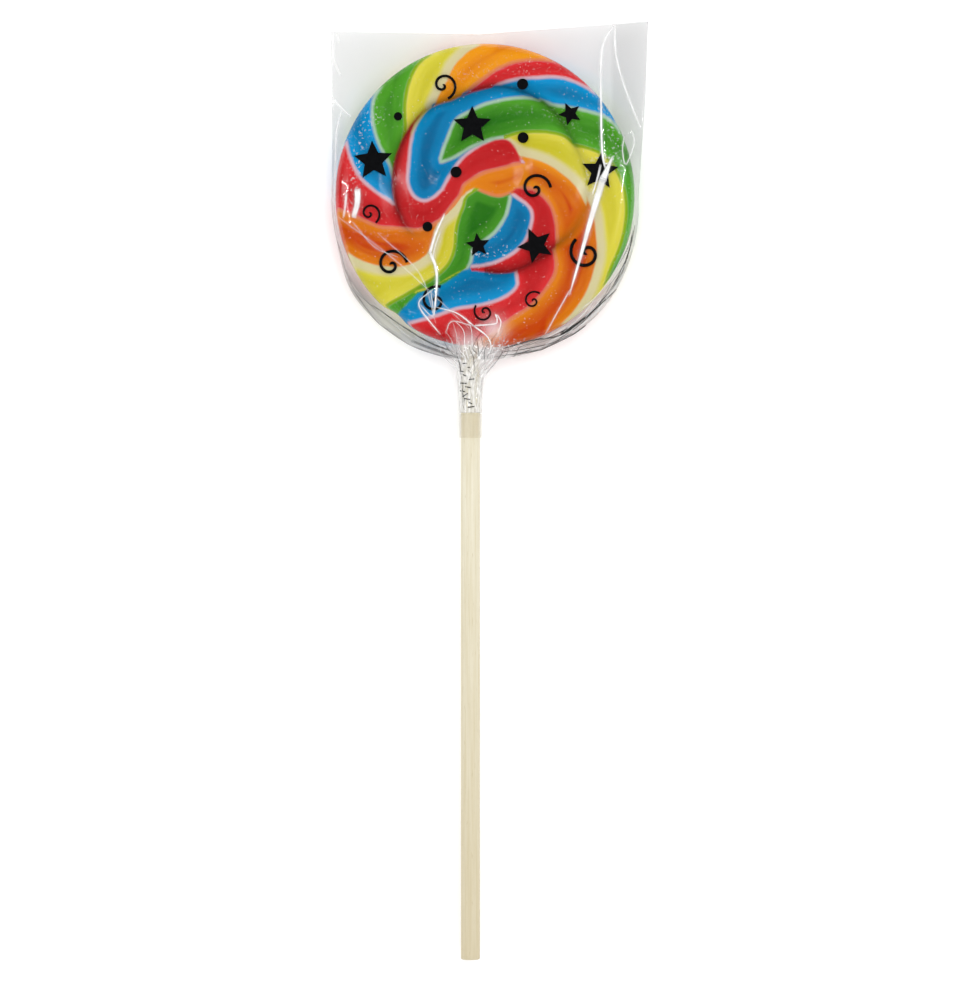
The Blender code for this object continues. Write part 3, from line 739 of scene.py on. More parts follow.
# creases: pixels of the photograph, then width at each end and height in mm, painted highlight and painted
# shade
creases = (
    (((614, 25), (602, 50), (600.6, 110), (602, 156), (607, 176)), 0.3, 0.42, 0.30, 0.95, 0.0),
    (((612, 158), (607, 170), (602, 182)), 0.3, 1.5, 0.2, 0.95, 0.0),
    (((603, 178), (590, 222), (580, 258), (569, 296)), 1.55, 0.22, 0.35, 0.95, 0.0),
    (((600, 166), (598, 176), (592, 196)), 0.5, 0.3, 0.1, 0.6, 0.0),
    (((570, 290), (556, 315), (545, 335)), 0.2, 0.14, 0.15, 0.6, 0.0),
    (((615, 23), (615.5, 53), (624, 86), (640, 128)), 0.26, 0.26, 0.25, 0.85, 0.0),
    (((624, 136), (622, 152), (625.5, 166), (634, 143), (631, 131)), 0.2, 0.2, 0.15, 0.6, 0.0),
    (((333, 32), (334, 60), (341, 76)), 0.22, 0.16, 0.25, 0.7, 0.0),
    (((337, 34), (339, 43)), 0.2, 0.16, 0.1, 0.5, 0.0),
    (((332, 98), (343, 110), (351.5, 118)), 0.45, 0.2, 0.25, 0.85, 0.0),
    (((341.6, 113), (336.6, 136), (335, 205)), 0.3, 0.18, 0.2, 0.6, 0.0),
    (((358, 190), (358, 204), (354, 219)), 1.25, 1.0, 0.1, 0.9, 0.0),
    (((347, 194), (346, 207), (344, 219)), 0.5, 0.45, 0.1, 0.45, 0.0),
    (((445, 215), (436, 235), (430, 255)), 0.3, 0.62, 0.3, 0.85, 0.0),
    (((430, 252), (437, 275), (434.5, 317)), 0.7, 0.24, 0.3, 0.9, 0.0),
    (((441, 232), (434, 254), (437, 281)), 0.2, 0.2, 0.2, 0.6, 0.0),
    (((434, 290), (419, 304), (430, 322), (440.6, 335)), 0.2, 0.2, 0.2, 0.75, 0.0),
    (((431, 291), (433, 317), (419, 304)), 0.18, 0.16, 0.2, 0.6, 0.0),
    (((419, 306), (424, 316), (437, 330)), 0.16, 0.16, 0.2, 0.5, 0.0),
    (((335, 215), (400, 265), (470, 330)), 0.1, 0.1, 0.12, 0.4, 0.0),
    (((378, 234), (420, 275), (436, 324)), 0.1, 0.12, 0.12, 0.4, 0.0),
    (((352, 222), (375, 248), (398, 258)), 0.1, 0.14, 0.12, 0.4, 0.0),
    (((436, 308), (457, 314), (473.6, 326.5)), 0.14, 0.3, 0.25, 0.8, 0.0),
    (((473.6, 326.5), (497, 324), (495, 315), (501, 322), (497, 338)), 0.34, 0.16, 0.25, 0.8, 0.0),
    (((473.6, 326.5), (488, 338), (491, 349), (487, 356)), 0.36, 0.2, 0.25, 0.85, 0.0),
    (((473, 327), (452, 322), (446, 334)), 0.18, 0.14, 0.2, 0.5, 0.0),
    (((503, 349), (531, 341), (561, 335), (586, 317), (601, 304), (620, 286)), 0.3, 0.2, 0.25, 0.0, 0.85),
    (((510, 355), (545, 349), (563, 341), (590, 322), (616, 296), (629, 268)), 0.34, 0.16, 0.2, 0.0, 0.75),
    (((560, 334), (574, 326), (589, 315)), 0.6, 0.35, 0.2, 0.0, 0.9),
    (((545, 345), (590, 318), (625, 272)), 0.22, 0.14, 0.2, 0.7, 0.0),
    (((350, 286), (381, 326), (414, 347), (457, 361)), 0.2, 0.24, 0.2, 0.0, 0.35),
    (((372, 305), (405, 328), (430, 343), (454, 352)), 0.2, 0.36, 0.25, 0.0, 0.7),
    (((411, 341), (432, 349), (457, 357)), 0.5, 0.7, 0.2, 0.0, 0.35),
    (((456.5, 352), (460, 366), (462, 380)), 0.32, 0.2, 0.1, 0.0, 0.6),
    (((503, 352), (496, 362), (486, 374)), 0.24, 0.16, 0.1, 0.0, 0.4),
)
# painted glints in specks where the film clings to the sugar: pixels, half width in mm and strength
glintLines = (
    (((376, 112), (362, 140), (352, 200)), 2.2, 0.4),
    (((430, 84), (500, 72), (575, 74)), 2.4, 0.07),
    (((602, 108), (612, 130), (622, 168)), 1.8, 0.4),
    (((596, 172), (606, 164)), 3.0, 0.8),
    (((470, 254), (508, 256)), 0.8, 0.6),
    (((500, 108), (560, 120), (600, 150)), 2.0, 0.07),
    (((440, 352), (480, 350), (520, 346)), 2.4, 0.6),
    (((352, 230), (380, 236), (404, 232)), 1.2, 0.08),
)
# painted highlight patches, milky white: pixel, radius in mm and strength
highlightPatches = (((494, 330), 3.6, 0.42), ((470, 347), 4.2, 0.45), ((602, 170), 1.6, 0.5), ((484, 352), 4.0, 0.4))
# folds run together at the mouth, round this centre, with painted highlight on their ridges and painted shade
# in their hollows; lengths in mm
gather = {
    "centre": (-2.6, -60.0), "near": 9.0, "far": 22.0, "lines": 5.5, "perMm": 0.09, "layer": 4.0,
    "fall": 1.6, "rise": 0.5, "white": (2.6, 0.8), "dark": (2.8, 0.15, 0.5),
}
# how creases and slack raise the film, and the painted highlight and shade on it; lengths in mm
shading = {
    "lineStep": 4,                      # pixels between points on a crease
    "shoulder": 1.0,                    # a crease's rise runs on this far past its width
    "glow": (0.7, 0.3),                 # width of its light: share of its own width, and mm added
    "ends": 8, "faintest": 0.25,        # how soon it fades at its ends, and to what share
    "beat": (0.2, 37, 50),              # its light comes and goes along it
    "white": 0.3, "dark": 0.4,
    "slackArc": (120, 35), "slackReach": 1.6, "slackDark": (0.11, 0.08, 0.16), "slackGrain": (14.0, 0.8),
    "leftFrom": (170, 20),              # degrees where the left side starts, and over which it sets in
    "flapFrom": 39.5, "flapFade": (1.5, 12), "flapDark": 0.07,
    "paintedGlints": 0.01,
}


def outlineRadius(angle):
    if lowerEdge[-1][0] < angle < lowerEdge[0][0]:
        return smoothValue(lowerEdge, angle)
    ray = polar(angle, 1.0)
    reach = 0.0
    for a, b in zip(upperEdge, upperEdge[1:]):
        sideX, sideY = b[0] - a[0], b[1] - a[1]
        turn = ray[0] * sideY - ray[1] * sideX
        part = (a[0] * ray[1] - a[1] * ray[0]) / turn
        if -sliver <= part <= 1 + sliver:
            reach = max(reach, (a[0] * sideY - a[1] * sideX) / turn)
    return reach


def filmHeight(spots):
    # height of the smooth bag over its middle plane, in mm, pulled tight over the disc
    angle = np.mod(np.degrees(np.arctan2(*spots.T)), 360)
    radius = np.hypot(*spots.T)
    angles = np.arange(0, 360.1, 0.25)
    outline = np.interp(angle, angles, [outlineRadius(a % 360) for a in angles])
    rim = radiusMm + ovalMm * np.cos(np.radians(2 * angle))
    rimCurve = disc["rim"] / mm
    bend = rimCurve + (bag["gap"] + bag["wall"] / 2) / mm
    wallZ = disc["half"] / mm - rimCurve
    y, left, right, half = neckRings[0]
    across = (spots[:, 0] - (left + right) / 2) / ((right - left) / 2)
    mouth = np.sqrt(np.clip(1 - across**2, 0, 1)) * half
    nearMouth = (spots[:, 1] < 0) & (np.abs(across) < 1)
    footZ = np.where(nearMouth, np.maximum(mouth, bag["edge"] / mm), bag["edge"] / mm)
    centre = rim - rimCurve
    foot = np.minimum(outline - bag["wall"] / mm, rim + bag["tent"] / mm)
    foot = np.maximum(foot, centre + bend + bag["footRoom"])
    up = footZ - wallZ
    span = np.hypot(foot - centre, up)
    tangent = np.arctan2(up, foot - centre) + np.arccos(np.minimum(bend / span, 1))
    touch = centre + bend * np.cos(tangent)
    touchZ = wallZ + bend * np.sin(tangent)
    onRim = wallZ + np.sqrt(np.clip(bend**2 - (radius - centre) ** 2, 0, None))
    slope = np.clip((radius - touch) / np.maximum(foot - touch, sliver), 0, 1)
    onTent = touchZ + (footZ - touchZ) * slope
    flat = footZ * np.clip((outline - radius) / (bag["wall"] / mm), 0, 1)
    height = np.where(radius <= centre, wallZ + bend, np.where(radius <= touch, onRim, onTent))
    return np.where((radius > foot) & ~nearMouth, flat, height)


def bagRows():
    # rows of the bag from its top edge down to its mouth: left point, right point, and the share of the way
    # up from the middle, or minus the share of the way down from it
    rows = []
    top = upperEdge[2][1] - upperEdge[0][1]
    topRight = upperEdge[4][1] - upperEdge[6][1]
    for k in range(bag["upperRows"]):
        part = 1 - k / bag["upperRows"]
        yLeft = upperEdge[0][1] + top * part
        yRight = upperEdge[6][1] + topRight * part
        left = np.interp(yLeft, [p[1] for p in upperEdge[:3]], [p[0] for p in upperEdge[:3]])
        right = np.interp(yRight, [p[1] for p in upperEdge[:3:-1]], [p[0] for p in upperEdge[:3:-1]])
        rows.append(((left, yLeft), (right, yRight), part))
    y, left, right = neckRings[0][:3]
    leftEnd = math.degrees(math.atan2(left, y)) % 360
    rightEnd = math.degrees(math.atan2(right, y)) % 360
    leftStart, rightStart = lowerEdge[0][0], lowerEdge[-1][0]
    for k in range(bag["lowerRows"] + 1):
        part = k / bag["lowerRows"]
        aLeft = leftStart + (leftEnd - leftStart) * part
        aRight = rightStart + (rightEnd - rightStart) * part
        rows.append((polar(aLeft, outlineRadius(aLeft)), polar(aRight, outlineRadius(aRight)), -part))
    return rows


def filmSheet(columns):
    # the bag's flat outline as rows of points from left to right
    even = np.linspace(0, 1, columns + 1)
    rounded = (1 - np.cos(np.pi * even)) / 2
    dipAt = (upperEdge[3][0] - upperEdge[2][0]) / (upperEdge[4][0] - upperEdge[2][0])
    dip = upperEdge[2][1] + (upperEdge[4][1] - upperEdge[2][1]) * dipAt - upperEdge[3][1]
    grid = []
    for left, right, part in bagRows():
        blend = np.clip((-part - bag["roundFrom"]) / (1 - bag["roundFrom"]), 0, 1) ** 2
        share = even + (rounded - even) * blend
        x = left[0] + (right[0] - left[0]) * share
        y = left[1] + (right[1] - left[1]) * share
        if part > 0:
            fold = 1 - np.where(share < dipAt, (dipAt - share) / dipAt, (share - dipAt) / (1 - dipAt))
            y = y - dip * fold * part**3
        grid.append(np.stack((x, y), 1))
    return np.array(grid)


def neckAt(y):
    # left x, right x and half thickness of the neck at a height
    ys, *sides = (np.array(values) for values in zip(*neckRings))
    return [np.interp(-y, -ys, values) for values in sides]


def neckNoise(turn, side, y, sizes):
    across, down = sizes
    return np.array([
        noise.noise(Vector((math.cos(t) * across, side * math.sin(t) * across, y * down))) for t in turn])


def neckSheet(columns, rows, side):
    # the gathered neck, one half round the stick: pleats that fan out towards the bag
    top, bottom = neckRings[0][0], neckRings[-1][0]
    grid, white, dark = [], [], []
    turn = math.pi * (1 - np.linspace(0, 1, columns + 1))
    for k in range(1, rows + 1):
        part = k / rows
        y = top + (bottom - top) * part
        left, right, half = neckAt(y)
        centre, reach = (left + right) / 2, (right - left) / 2
        wobble, crumple, fine = (
            neckNoise(turn, side, y, neck[name]) for name in ("wobble", "crumple", "fine"))
        fold = np.cos(side * turn * neck["pleats"] + neck["stray"] * wobble + neck["start"])
        swell = np.sin(np.pi * np.clip(part * neck["pleatRun"], 0, 1)) ** 0.5
        depth = neck["pleatDepth"] * swell * (neck["evenDepth"] + wobble)
        ends = np.sin(turn) ** 0.5
        scale = 1 - np.clip(depth, 0, 1) * (0.5 + 0.5 * fold) * ends * neck["pleatShare"]
        floor = neck["stickRoom"] / np.maximum(half, neck["stickRoom"])
        x = centre + reach * np.cos(turn) * np.maximum(scale, neck["narrowest"])
        z = half * np.sin(turn) * np.maximum(scale, floor)
        grid.append(np.stack((x, np.full(columns + 1, y), z), 1))
        # painted highlight and painted shade follow the crumples
        base, crumpled, finer = neck["white"]
        white.append(np.clip(base + crumpled * crumple + finer * fine, *neck["paintedHighlightRange"]))
        base, crumpled, finer = neck["dark"]
        dark.append(np.clip(base - crumpled * np.abs(crumple + finer * fine), 0, 1))
    return np.array(grid), np.concatenate(white), np.concatenate(dark)


def polypropylene():
    # Cast polypropylene film, 0.03 mm: clear, shiny on both faces, greyer where it is doubled, with painted
    # shade along folds and painted highlights and glints in white along hard creases
    look = {
        "clear": "#F6F6F6", "fold": "#6E7372", "white": "#FFFFFF", "facing": 0.032, "edgeOnPower": 5.0,
        "roughness": 0.06, "haze": 0.001, "cloudSize": 9 * mm,
        "speckSize": 0.8 * mm, "speckTone": (0.58, 0.66),
    }
    made, tree = newMaterial("Cast polypropylene film")
    place = addNode(tree, "ShaderNodeTexCoord").outputs["Object"]
    layers = {}
    for name in ("paintedHighlight", "greyAndPaintedShade", "paintedGlints"):
        layers[name] = addNode(tree, "ShaderNodeAttribute", attribute_name=name).outputs["Fac"]
    cloud = addNode(tree, "ShaderNodeTexNoise", {
        "Vector": place, "Scale": 1 / look["cloudSize"], "Detail": 3.0})
    # painted glints: where the film clings to the sugar they fall in specks about 0.5 mm across
    glintNoise = addNode(tree, "ShaderNodeTexNoise", {
        "Vector": place, "Scale": 1 / look["speckSize"], "Detail": 2.0})
    specks = addNode(tree, "ShaderNodeMapRange", {
        0: glintNoise.outputs[0], 1: look["speckTone"][0], 2: look["speckTone"][1]})
    sparkle = addNode(tree, "ShaderNodeMath", {
        0: specks.outputs[0], 1: layers["paintedGlints"]}, operation="MULTIPLY")
    tint = addNode(tree, "ShaderNodeMix", {
        0: layers["greyAndPaintedShade"], 6: linear(look["clear"]), 7: linear(look["fold"])}, data_type="RGBA")
    clear = addNode(tree, "ShaderNodeBsdfTransparent", {"Color": tint.outputs[2]})
    # like any clear plastic it mirrors little face on and much edge on
    edgeOn = addNode(tree, "ShaderNodeLayerWeight", {"Blend": 0.5})
    power = addNode(tree, "ShaderNodeMath", {0: edgeOn.outputs["Facing"], 1: look["edgeOnPower"]},
                    operation="POWER")
    mirror = addNode(tree, "ShaderNodeMath", {0: power.outputs[0], 1: 1 - look["facing"], 2: look["facing"]},
                     operation="MULTIPLY_ADD")
    gloss = addNode(tree, "ShaderNodeBsdfGlossy", {"Roughness": look["roughness"]})
    skin = addNode(tree, "ShaderNodeMixShader", {
        0: mirror.outputs[0], 1: clear.outputs[0], 2: gloss.outputs[0]})
    # the film's own haze, and the painted highlight and painted glints, mix in as white diffuse
    milk = addNode(tree, "ShaderNodeBsdfDiffuse", {"Color": linear(look["white"])})
    haze = addNode(tree, "ShaderNodeMath", {0: cloud.outputs[0], 1: look["haze"] * 2}, operation="MULTIPLY")
    dull = addNode(tree, "ShaderNodeMath", {0: haze.outputs[0], 1: sparkle.outputs[0]}, operation="ADD")
    white = addNode(tree, "ShaderNodeMath", {0: layers["paintedHighlight"], 1: dull.outputs[0]},
                    operation="ADD", use_clamp=True)
    shader = addNode(tree, "ShaderNodeMixShader", {
        0: white.outputs[0], 1: skin.outputs[0], 2: milk.outputs[0]})
    addNode(tree, "ShaderNodeOutputMaterial", {"Surface": shader.outputs[0]})
    return made


def creaseLayers(spots):
    # height, painted highlight, grey and painted shade, and painted glints that creases, cling and the
    # gathered mouth add
    height, white, dark, paintedGlints = (np.zeros(len(spots)) for _ in range(4))
    glowShare, glowExtra = shading["glow"]
    beat, beats, shift = shading["beat"]
    # each crease rises, and gets a painted highlight or painted shade along it
    for points, startWidth, endWidth, rise, paintedHighlight, greyAndPaintedShade in creases:
        away, along = lineDistance(spots, photoLine(points, shading["lineStep"]))
        width = startWidth + (endWidth - startWidth) * along
        ends = np.clip(np.minimum(along, 1 - along) * shading["ends"], 0, 1)
        fade = shading["faintest"] + (1 - shading["faintest"]) * ends
        grain = 1 - beat + beat * np.sin(along * beats + startWidth * shift)
        slope = np.clip(1 - np.abs(away) / (width + shading["shoulder"]), 0, 1)
        height = np.maximum(height, rise * slope ** 2 * ends)
        glow = np.exp(-(away / (glowShare * width + glowExtra)) ** 2) * fade * grain
        white = np.maximum(white, shading["white"] * paintedHighlight * glow)
        dark = np.maximum(dark, shading["dark"] * greyAndPaintedShade * glow)
    # painted highlight patches
    for spot, size, strength in highlightPatches:
        away = np.hypot(*(spots - np.array(toPart(*spot))).T) / size
        white = np.maximum(white, strength * np.exp(-away**2))
    for points, width, strength in glintLines:
        away = lineDistance(spots, photoLine(points, shading["lineStep"]))[0] / width
        paintedGlints = np.maximum(paintedGlints, strength * np.exp(-away**2))
    # folds run together at the mouth, with painted highlight on their ridges and painted shade in their
    # hollows
    cx, cy = gather["centre"]
    reach = np.hypot(spots[:, 0] - cx, spots[:, 1] - cy)
    turn = np.arctan2(spots[:, 0] - cx, spots[:, 1] - cy)
    places = zip(turn * gather["lines"], reach * gather["perMm"])
    ray = np.array([noise.noise(Vector((across, out, gather["layer"]))) for across, out in places])
    fan = np.clip((gather["far"] - reach) / (gather["far"] - gather["near"]), 0, 1) ** gather["fall"]
    height = height + gather["rise"] * fan * ray
    gain, share = gather["white"]
    white = np.maximum(white, np.clip(ray * gain, 0, 1) * fan * share)
    gain, less, share = gather["dark"]
    dark = np.maximum(dark, np.clip(-ray * gain - less, 0, 1) * fan * share)
    # the flap at the right, past the long fold, is a shade greyer
    inward, upward = shading["flapFade"]
    flap = np.clip((spots[:, 0] - shading["flapFrom"]) / inward, 0, 1) * np.clip(spots[:, 1] / upward, 0, 1)
    dark = np.maximum(dark, shading["flapDark"] * flap)
    # the slack round the lower half is greyer towards its edge
    angle = np.mod(np.degrees(np.arctan2(*spots.T)), 360)
    radius = np.hypot(*spots.T)
    arc, arcFade = shading["slackArc"]
    below = np.clip((arc - np.abs(angle - 180)) / arcFade, 0, 1)
    slack = np.clip((radius - radiusMm) / shading["slackReach"], 0, 1) * below
    long, short = shading["slackGrain"]
    streak = np.array([noise.noise(Vector((a / long, r / short, 1.0))) for a, r in zip(angle, radius)])
    leftStart, leftFade = shading["leftFrom"]
    onLeft = np.clip((angle - leftStart) / leftFade, 0, 1)
    base, left, uneven = shading["slackDark"]
    dark = np.maximum(dark, slack * np.clip(base + left * onLeft + uneven * streak, 0, 1))
    return height, np.clip(white, 0, 1), np.clip(dark, 0, 1), np.clip(paintedGlints + shading["paintedGlints"], 0, 1)


def filmWave(x, y, side):
    # the film's own unevenness, another pattern on each side
    broad, small = (noise.noise(Vector((x / size, y / size, layer * side)))
                    for size, layer in zip(bag["waveSizes"], bag["waveLayers"]))
    return broad + bag["smallWave"] * small


def makeFilm():
    columns = bag["columns"]
    faces, sheets = [], []
    for side, highest in zip((1, -1), bag["highest"]):
        flat = filmSheet(columns)
        spots = flat.reshape(-1, 2)
        height = filmHeight(spots)
        calm = np.clip(height / bag["calmHeight"], 0, 1)
        bumps = np.array([filmWave(x, y, side) for x, y in spots])
        rise, white, dark, paintedGlints = creaseLayers(spots)
        if side < 0:
            white, paintedGlints = white * bag["backShare"], paintedGlints * bag["backShare"]
        height = height + (bumps * bag["wave"] / mm + rise) * calm
        height = np.minimum(height, highest)
        gathered, neckPaintedHighlight, neckPaintedShade = neckSheet(columns, bag["neckRows"], side)
        whole = np.concatenate((np.column_stack((spots, height)), gathered.reshape(-1, 3)))
        pairs = ((white, neckPaintedHighlight), (dark, neckPaintedShade), (paintedGlints, neckPaintedShade * 0))
        sheets.append((whole, [np.concatenate(pair) for pair in pairs], len(flat) + len(gathered)))
    front, back = sheets
    rows, width = front[2], columns + 1
    # the two sheets share the points of the bag's edge, which lie in its middle plane
    edge = np.zeros((rows, width), bool)
    edge[:, 0] = edge[:, -1] = edge[0, :] = True
    frontPoints = front[0].copy()
    frontPoints[edge.ravel(), 2] = 0
    backPoints = back[0].copy()
    backPoints[:, 2] *= -1
    inner = ~edge.ravel()
    backIndex = np.arange(rows * width)
    backIndex[inner] = rows * width + np.arange(inner.sum())
    allPoints = np.concatenate((frontPoints, backPoints[inner])) * mm
    allPoints[:, 2] += disc["middle"]
    for r in range(rows - 1):
        for c in range(width - 1):
            a, b, d, e = r * width + c, r * width + c + 1, (r + 1) * width + c + 1, (r + 1) * width + c
            faces.append((a, e, d, b))
            faces.append(tuple(int(backIndex[i]) for i in (a, b, d, e)))
    # one face closes the neck's lower end
    last = [(rows - 1) * width + c for c in range(width)]
    lastBack = [int(backIndex[i]) for i in last[::-1][1:-1]]
    faces.append(tuple(last + lastBack))
    mesh = bpy.data.meshes.new("film_bag")
    mesh.from_pydata(allPoints.tolist(), [], faces)
    mesh.validate()
    mesh.shade_smooth()
    mesh.materials.append(polypropylene())
    for name, ahead, behind in zip(("paintedHighlight", "greyAndPaintedShade", "paintedGlints"), front[1], back[1]):
        addAttribute(mesh, name, np.concatenate((ahead, behind[inner])))
    piece = newObject("film_bag", mesh)
    finishPiece(piece, "film", "wrapper")
    print("film", len(mesh.polygons), "faces")
    return piece


filmPiece = makeFilm()


# Air bubbles that broke at the skin of the sugar

bubbles = {
    "radius": 0.12 * mm, "perSquareMetre": 190000.0, "seed": 7, "turnSeed": 3, "patch": 11 * mm,
    "patchTone": (0.42, 0.68),
    "facingUp": 0.3,                # the skin has to face up by more than this
    "smallest": (0.5, 0.4, 0.35), "largest": (1.5, 1.1, 0.7),       # shares of the radius in X, Y and Z
}


def bubbleTree():
    inputs = [(label, "NodeSocketFloat") for label in ("Radius", "Density", "Patch Size")]
    inputs += [("Seed", "NodeSocketInt"), ("Finish", "NodeSocketMaterial")]
    tree, given, result = newTree("airBubbles", inputs)
    normal = addNode(tree, "GeometryNodeInputNormal")
    upward = addNode(tree, "ShaderNodeSeparateXYZ", {0: normal.outputs[0]})
    onTop = addNode(tree, "FunctionNodeCompare", {0: upward.outputs["Z"], 1: bubbles["facingUp"]},
                    operation="GREATER_THAN")
    scale = addNode(tree, "ShaderNodeMath", {0: 1.0, 1: given.outputs["Patch Size"]}, operation="DIVIDE")
    patches = addNode(tree, "ShaderNodeTexNoise", {"Scale": scale.outputs[0], "Detail": 1.0})
    thick = addNode(tree, "ShaderNodeMapRange", {
        0: patches.outputs[0], 1: bubbles["patchTone"][0], 2: bubbles["patchTone"][1]})
    density = addNode(tree, "ShaderNodeMath", {0: thick.outputs[0], 1: given.outputs["Density"]},
                      operation="MULTIPLY")
    points = addNode(tree, "GeometryNodeDistributePointsOnFaces", {
        "Mesh": given.outputs["Geometry"], "Selection": onTop.outputs[0], "Density": density.outputs[0],
        "Seed": given.outputs["Seed"]}, distribute_method="RANDOM")
    ball = addNode(tree, "GeometryNodeMeshIcoSphere", {"Radius": given.outputs["Radius"], "Subdivisions": 1})
    smooth = addNode(tree, "GeometryNodeSetShadeSmooth", {"Geometry": ball.outputs[0]})
    size = addNode(tree, "FunctionNodeRandomValue", {
        0: bubbles["smallest"], 1: bubbles["largest"], "Seed": given.outputs["Seed"]},
        data_type="FLOAT_VECTOR")
    turned = addNode(tree, "FunctionNodeRandomValue", {
        0: (0, 0, 0), 1: (0, 0, math.tau), "Seed": bubbles["turnSeed"]}, data_type="FLOAT_VECTOR")
    placed = addNode(tree, "GeometryNodeInstanceOnPoints", {
        "Points": points.outputs[0], "Instance": smooth.outputs[0], "Rotation": turned.outputs[0],
        "Scale": size.outputs[0]})
    whole = addNode(tree, "GeometryNodeRealizeInstances", {"Geometry": placed.outputs[0]})
    painted = addNode(tree, "GeometryNodeSetMaterial", {
        "Geometry": whole.outputs[0], "Material": given.outputs["Finish"]})
    tree.links.new(painted.outputs[0], result.inputs[0])
    return tree


def bubbleSugar():
    # Sugar with air in it: frosty white and shiny
    made, tree = newMaterial("Aerated sugar")
    place = addNode(tree, "ShaderNodeTexCoord").outputs["Object"]
    tone = addNode(tree, "ShaderNodeTexNoise", {"Vector": place, "Scale": 1 / (4 * mm), "Detail": 1.0})
    colour = addNode(tree, "ShaderNodeMix", {0: tone.outputs[0], 6: linear("#FFFFFF"), 7: linear("#F1E3CE")},
                     data_type="RGBA")
    shader = addNode(tree, "ShaderNodeBsdfPrincipled", {
        "Base Color": colour.outputs[2], "Roughness": 0.12, "IOR": 1.5})
    addNode(tree, "ShaderNodeOutputMaterial", {"Surface": shader.outputs[0]})
    return made


def makeBubbles():
    piece = growMesh("air_bubbles", bubbleTree(), {
        "Radius": bubbles["radius"], "Density": bubbles["perSquareMetre"], "Patch Size": bubbles["patch"],
        "Seed": bubbles["seed"], "Finish": bubbleSugar()}, candyPiece.data)
    finishPiece(piece, "candy")
    print("bubbles", len(piece.data.polygons), "faces")


makeBubbles()


# Painted light on hard creases: thin ribbons laid along the film, white for painted highlight and dark grey
# for painted shade

paintedFoldLight = {
    "step": 0.5 * mm, "lift": 0.07 * mm, "thickness": 0.015 * mm, "seed": 11, "smoothStep": 0.6,
    "ends": 7, "faintest": 0.3, "glint": 0.16, "glints": 31,       # how a fold fades and glints
}
# ranges that the finer painted fold lines are drawn from: degrees, mm and shares
mouthFoldLight = {
    "count": 40, "angle": (-68, 68), "near": (6, 11), "far": (12, 23), "stray": (-5, 5), "white": 0.78,
    "strength": (0.35, 0.85), "shadeShare": 0.6, "width": (0.1, 0.3), "endWidth": 0.05,
}
rimFoldLight = {
    "count": 44, "onRight": 0.68, "half": (6, 15), "share": (0.05, 0.95), "drift": (-0.25, 0.25),
    "stray": (-0.06, 0.06), "insideRim": 0.6, "insideEdge": 0.3,
    "width": (0.06, 0.24), "endWidth": (0.04, 0.14),
    "right": {"middle": (108, 172), "white": 0.4, "strength": (0.3, 0.8)},
    "left": {"middle": (190, 258), "white": 0.55, "strength": (0.12, 0.34)},
}
neckFoldLight = {
    "count": 24, "start": (0, 0.7), "share": (0.06, 0.94), "run": (0.12, 0.45), "lowest": 0.97,
    "stray": (-0.09, 0.09), "within": (0.05, 0.95), "white": 0.6, "strength": (0.25, 0.65),
    "width": (0.06, 0.2), "endWidth": 0.05,
}
fall = {"from": 30 * mm, "reach": 60 * mm}      # what lies on the film is dropped onto it from this height


def foldLightLines():
    # (points in mm, width at each end, strength, 1 for a painted highlight and 0 for painted shade)
    draw = random.Random(paintedFoldLight["seed"])
    step = paintedFoldLight["smoothStep"]
    lines = []
    for points, startWidth, endWidth, rise, paintedHighlight, greyAndPaintedShade in creases:
        line = photoLine(points, shading["lineStep"])
        lines.append((line, startWidth, endWidth, max(paintedHighlight, greyAndPaintedShade), float(paintedHighlight > greyAndPaintedShade)))
    # painted lines of gathered folds that fan out of the mouth over the foot of the disc
    for k in range(mouthFoldLight["count"]):
        angle = draw.uniform(*mouthFoldLight["angle"])
        near, far = draw.uniform(*mouthFoldLight["near"]), draw.uniform(*mouthFoldLight["far"])
        line = []
        for part in range(4):
            ray = polar(angle + draw.uniform(*mouthFoldLight["stray"]), near + (far - near) * part / 3)
            line.append(np.array(gather["centre"]) + ray)
        white = draw.random() < mouthFoldLight["white"]
        strength = draw.uniform(*mouthFoldLight["strength"]) * (1 if white else mouthFoldLight["shadeShare"])
        width = draw.uniform(*mouthFoldLight["width"])
        lines.append((smoothLine(line, step), width, mouthFoldLight["endWidth"], strength, float(white)))
    # painted lines of slack drawn round under the rim; on the right more are painted shade, and stronger
    for k in range(rimFoldLight["count"]):
        side = rimFoldLight["right" if draw.random() < rimFoldLight["onRight"] else "left"]
        middle, half = draw.uniform(*side["middle"]), draw.uniform(*rimFoldLight["half"])
        share, drift = draw.uniform(*rimFoldLight["share"]), draw.uniform(*rimFoldLight["drift"])
        line = []
        for part in (-1, -0.4, 0.3, 1):
            angle = middle + half * part
            inner, outer = rimAt(angle) - rimFoldLight["insideRim"], outlineRadius(angle) - rimFoldLight["insideEdge"]
            across = min(max(share + drift * part + draw.uniform(*rimFoldLight["stray"]), 0), 1)
            line.append(polar(angle, inner + (outer - inner) * across))
        white = draw.random() < side["white"]
        strength = draw.uniform(*side["strength"])
        width, endWidth = draw.uniform(*rimFoldLight["width"]), draw.uniform(*rimFoldLight["endWidth"])
        lines.append((smoothLine(line, step), width, endWidth, strength, float(white)))
    # painted lines of the pleats down the neck
    top, bottom = neckRings[0][0], neckRings[-1][0]
    for k in range(neckFoldLight["count"]):
        start, share = draw.uniform(*neckFoldLight["start"]), draw.uniform(*neckFoldLight["share"])
        stop = min(start + draw.uniform(*neckFoldLight["run"]), neckFoldLight["lowest"])
        line = []
        for part in (0, 0.35, 0.7, 1):
            y = top + (bottom - top) * (start + (stop - start) * part)
            left, right, half = neckAt(y)
            least, most = neckFoldLight["within"]
            across = min(max(share + draw.uniform(*neckFoldLight["stray"]), least), most)
            line.append((left + (right - left) * across, y))
        white = draw.random() < neckFoldLight["white"]
        width, strength = draw.uniform(*neckFoldLight["width"]), draw.uniform(*neckFoldLight["strength"])
        lines.append((smoothLine(line, step), width, neckFoldLight["endWidth"], strength, float(white)))
    return lines


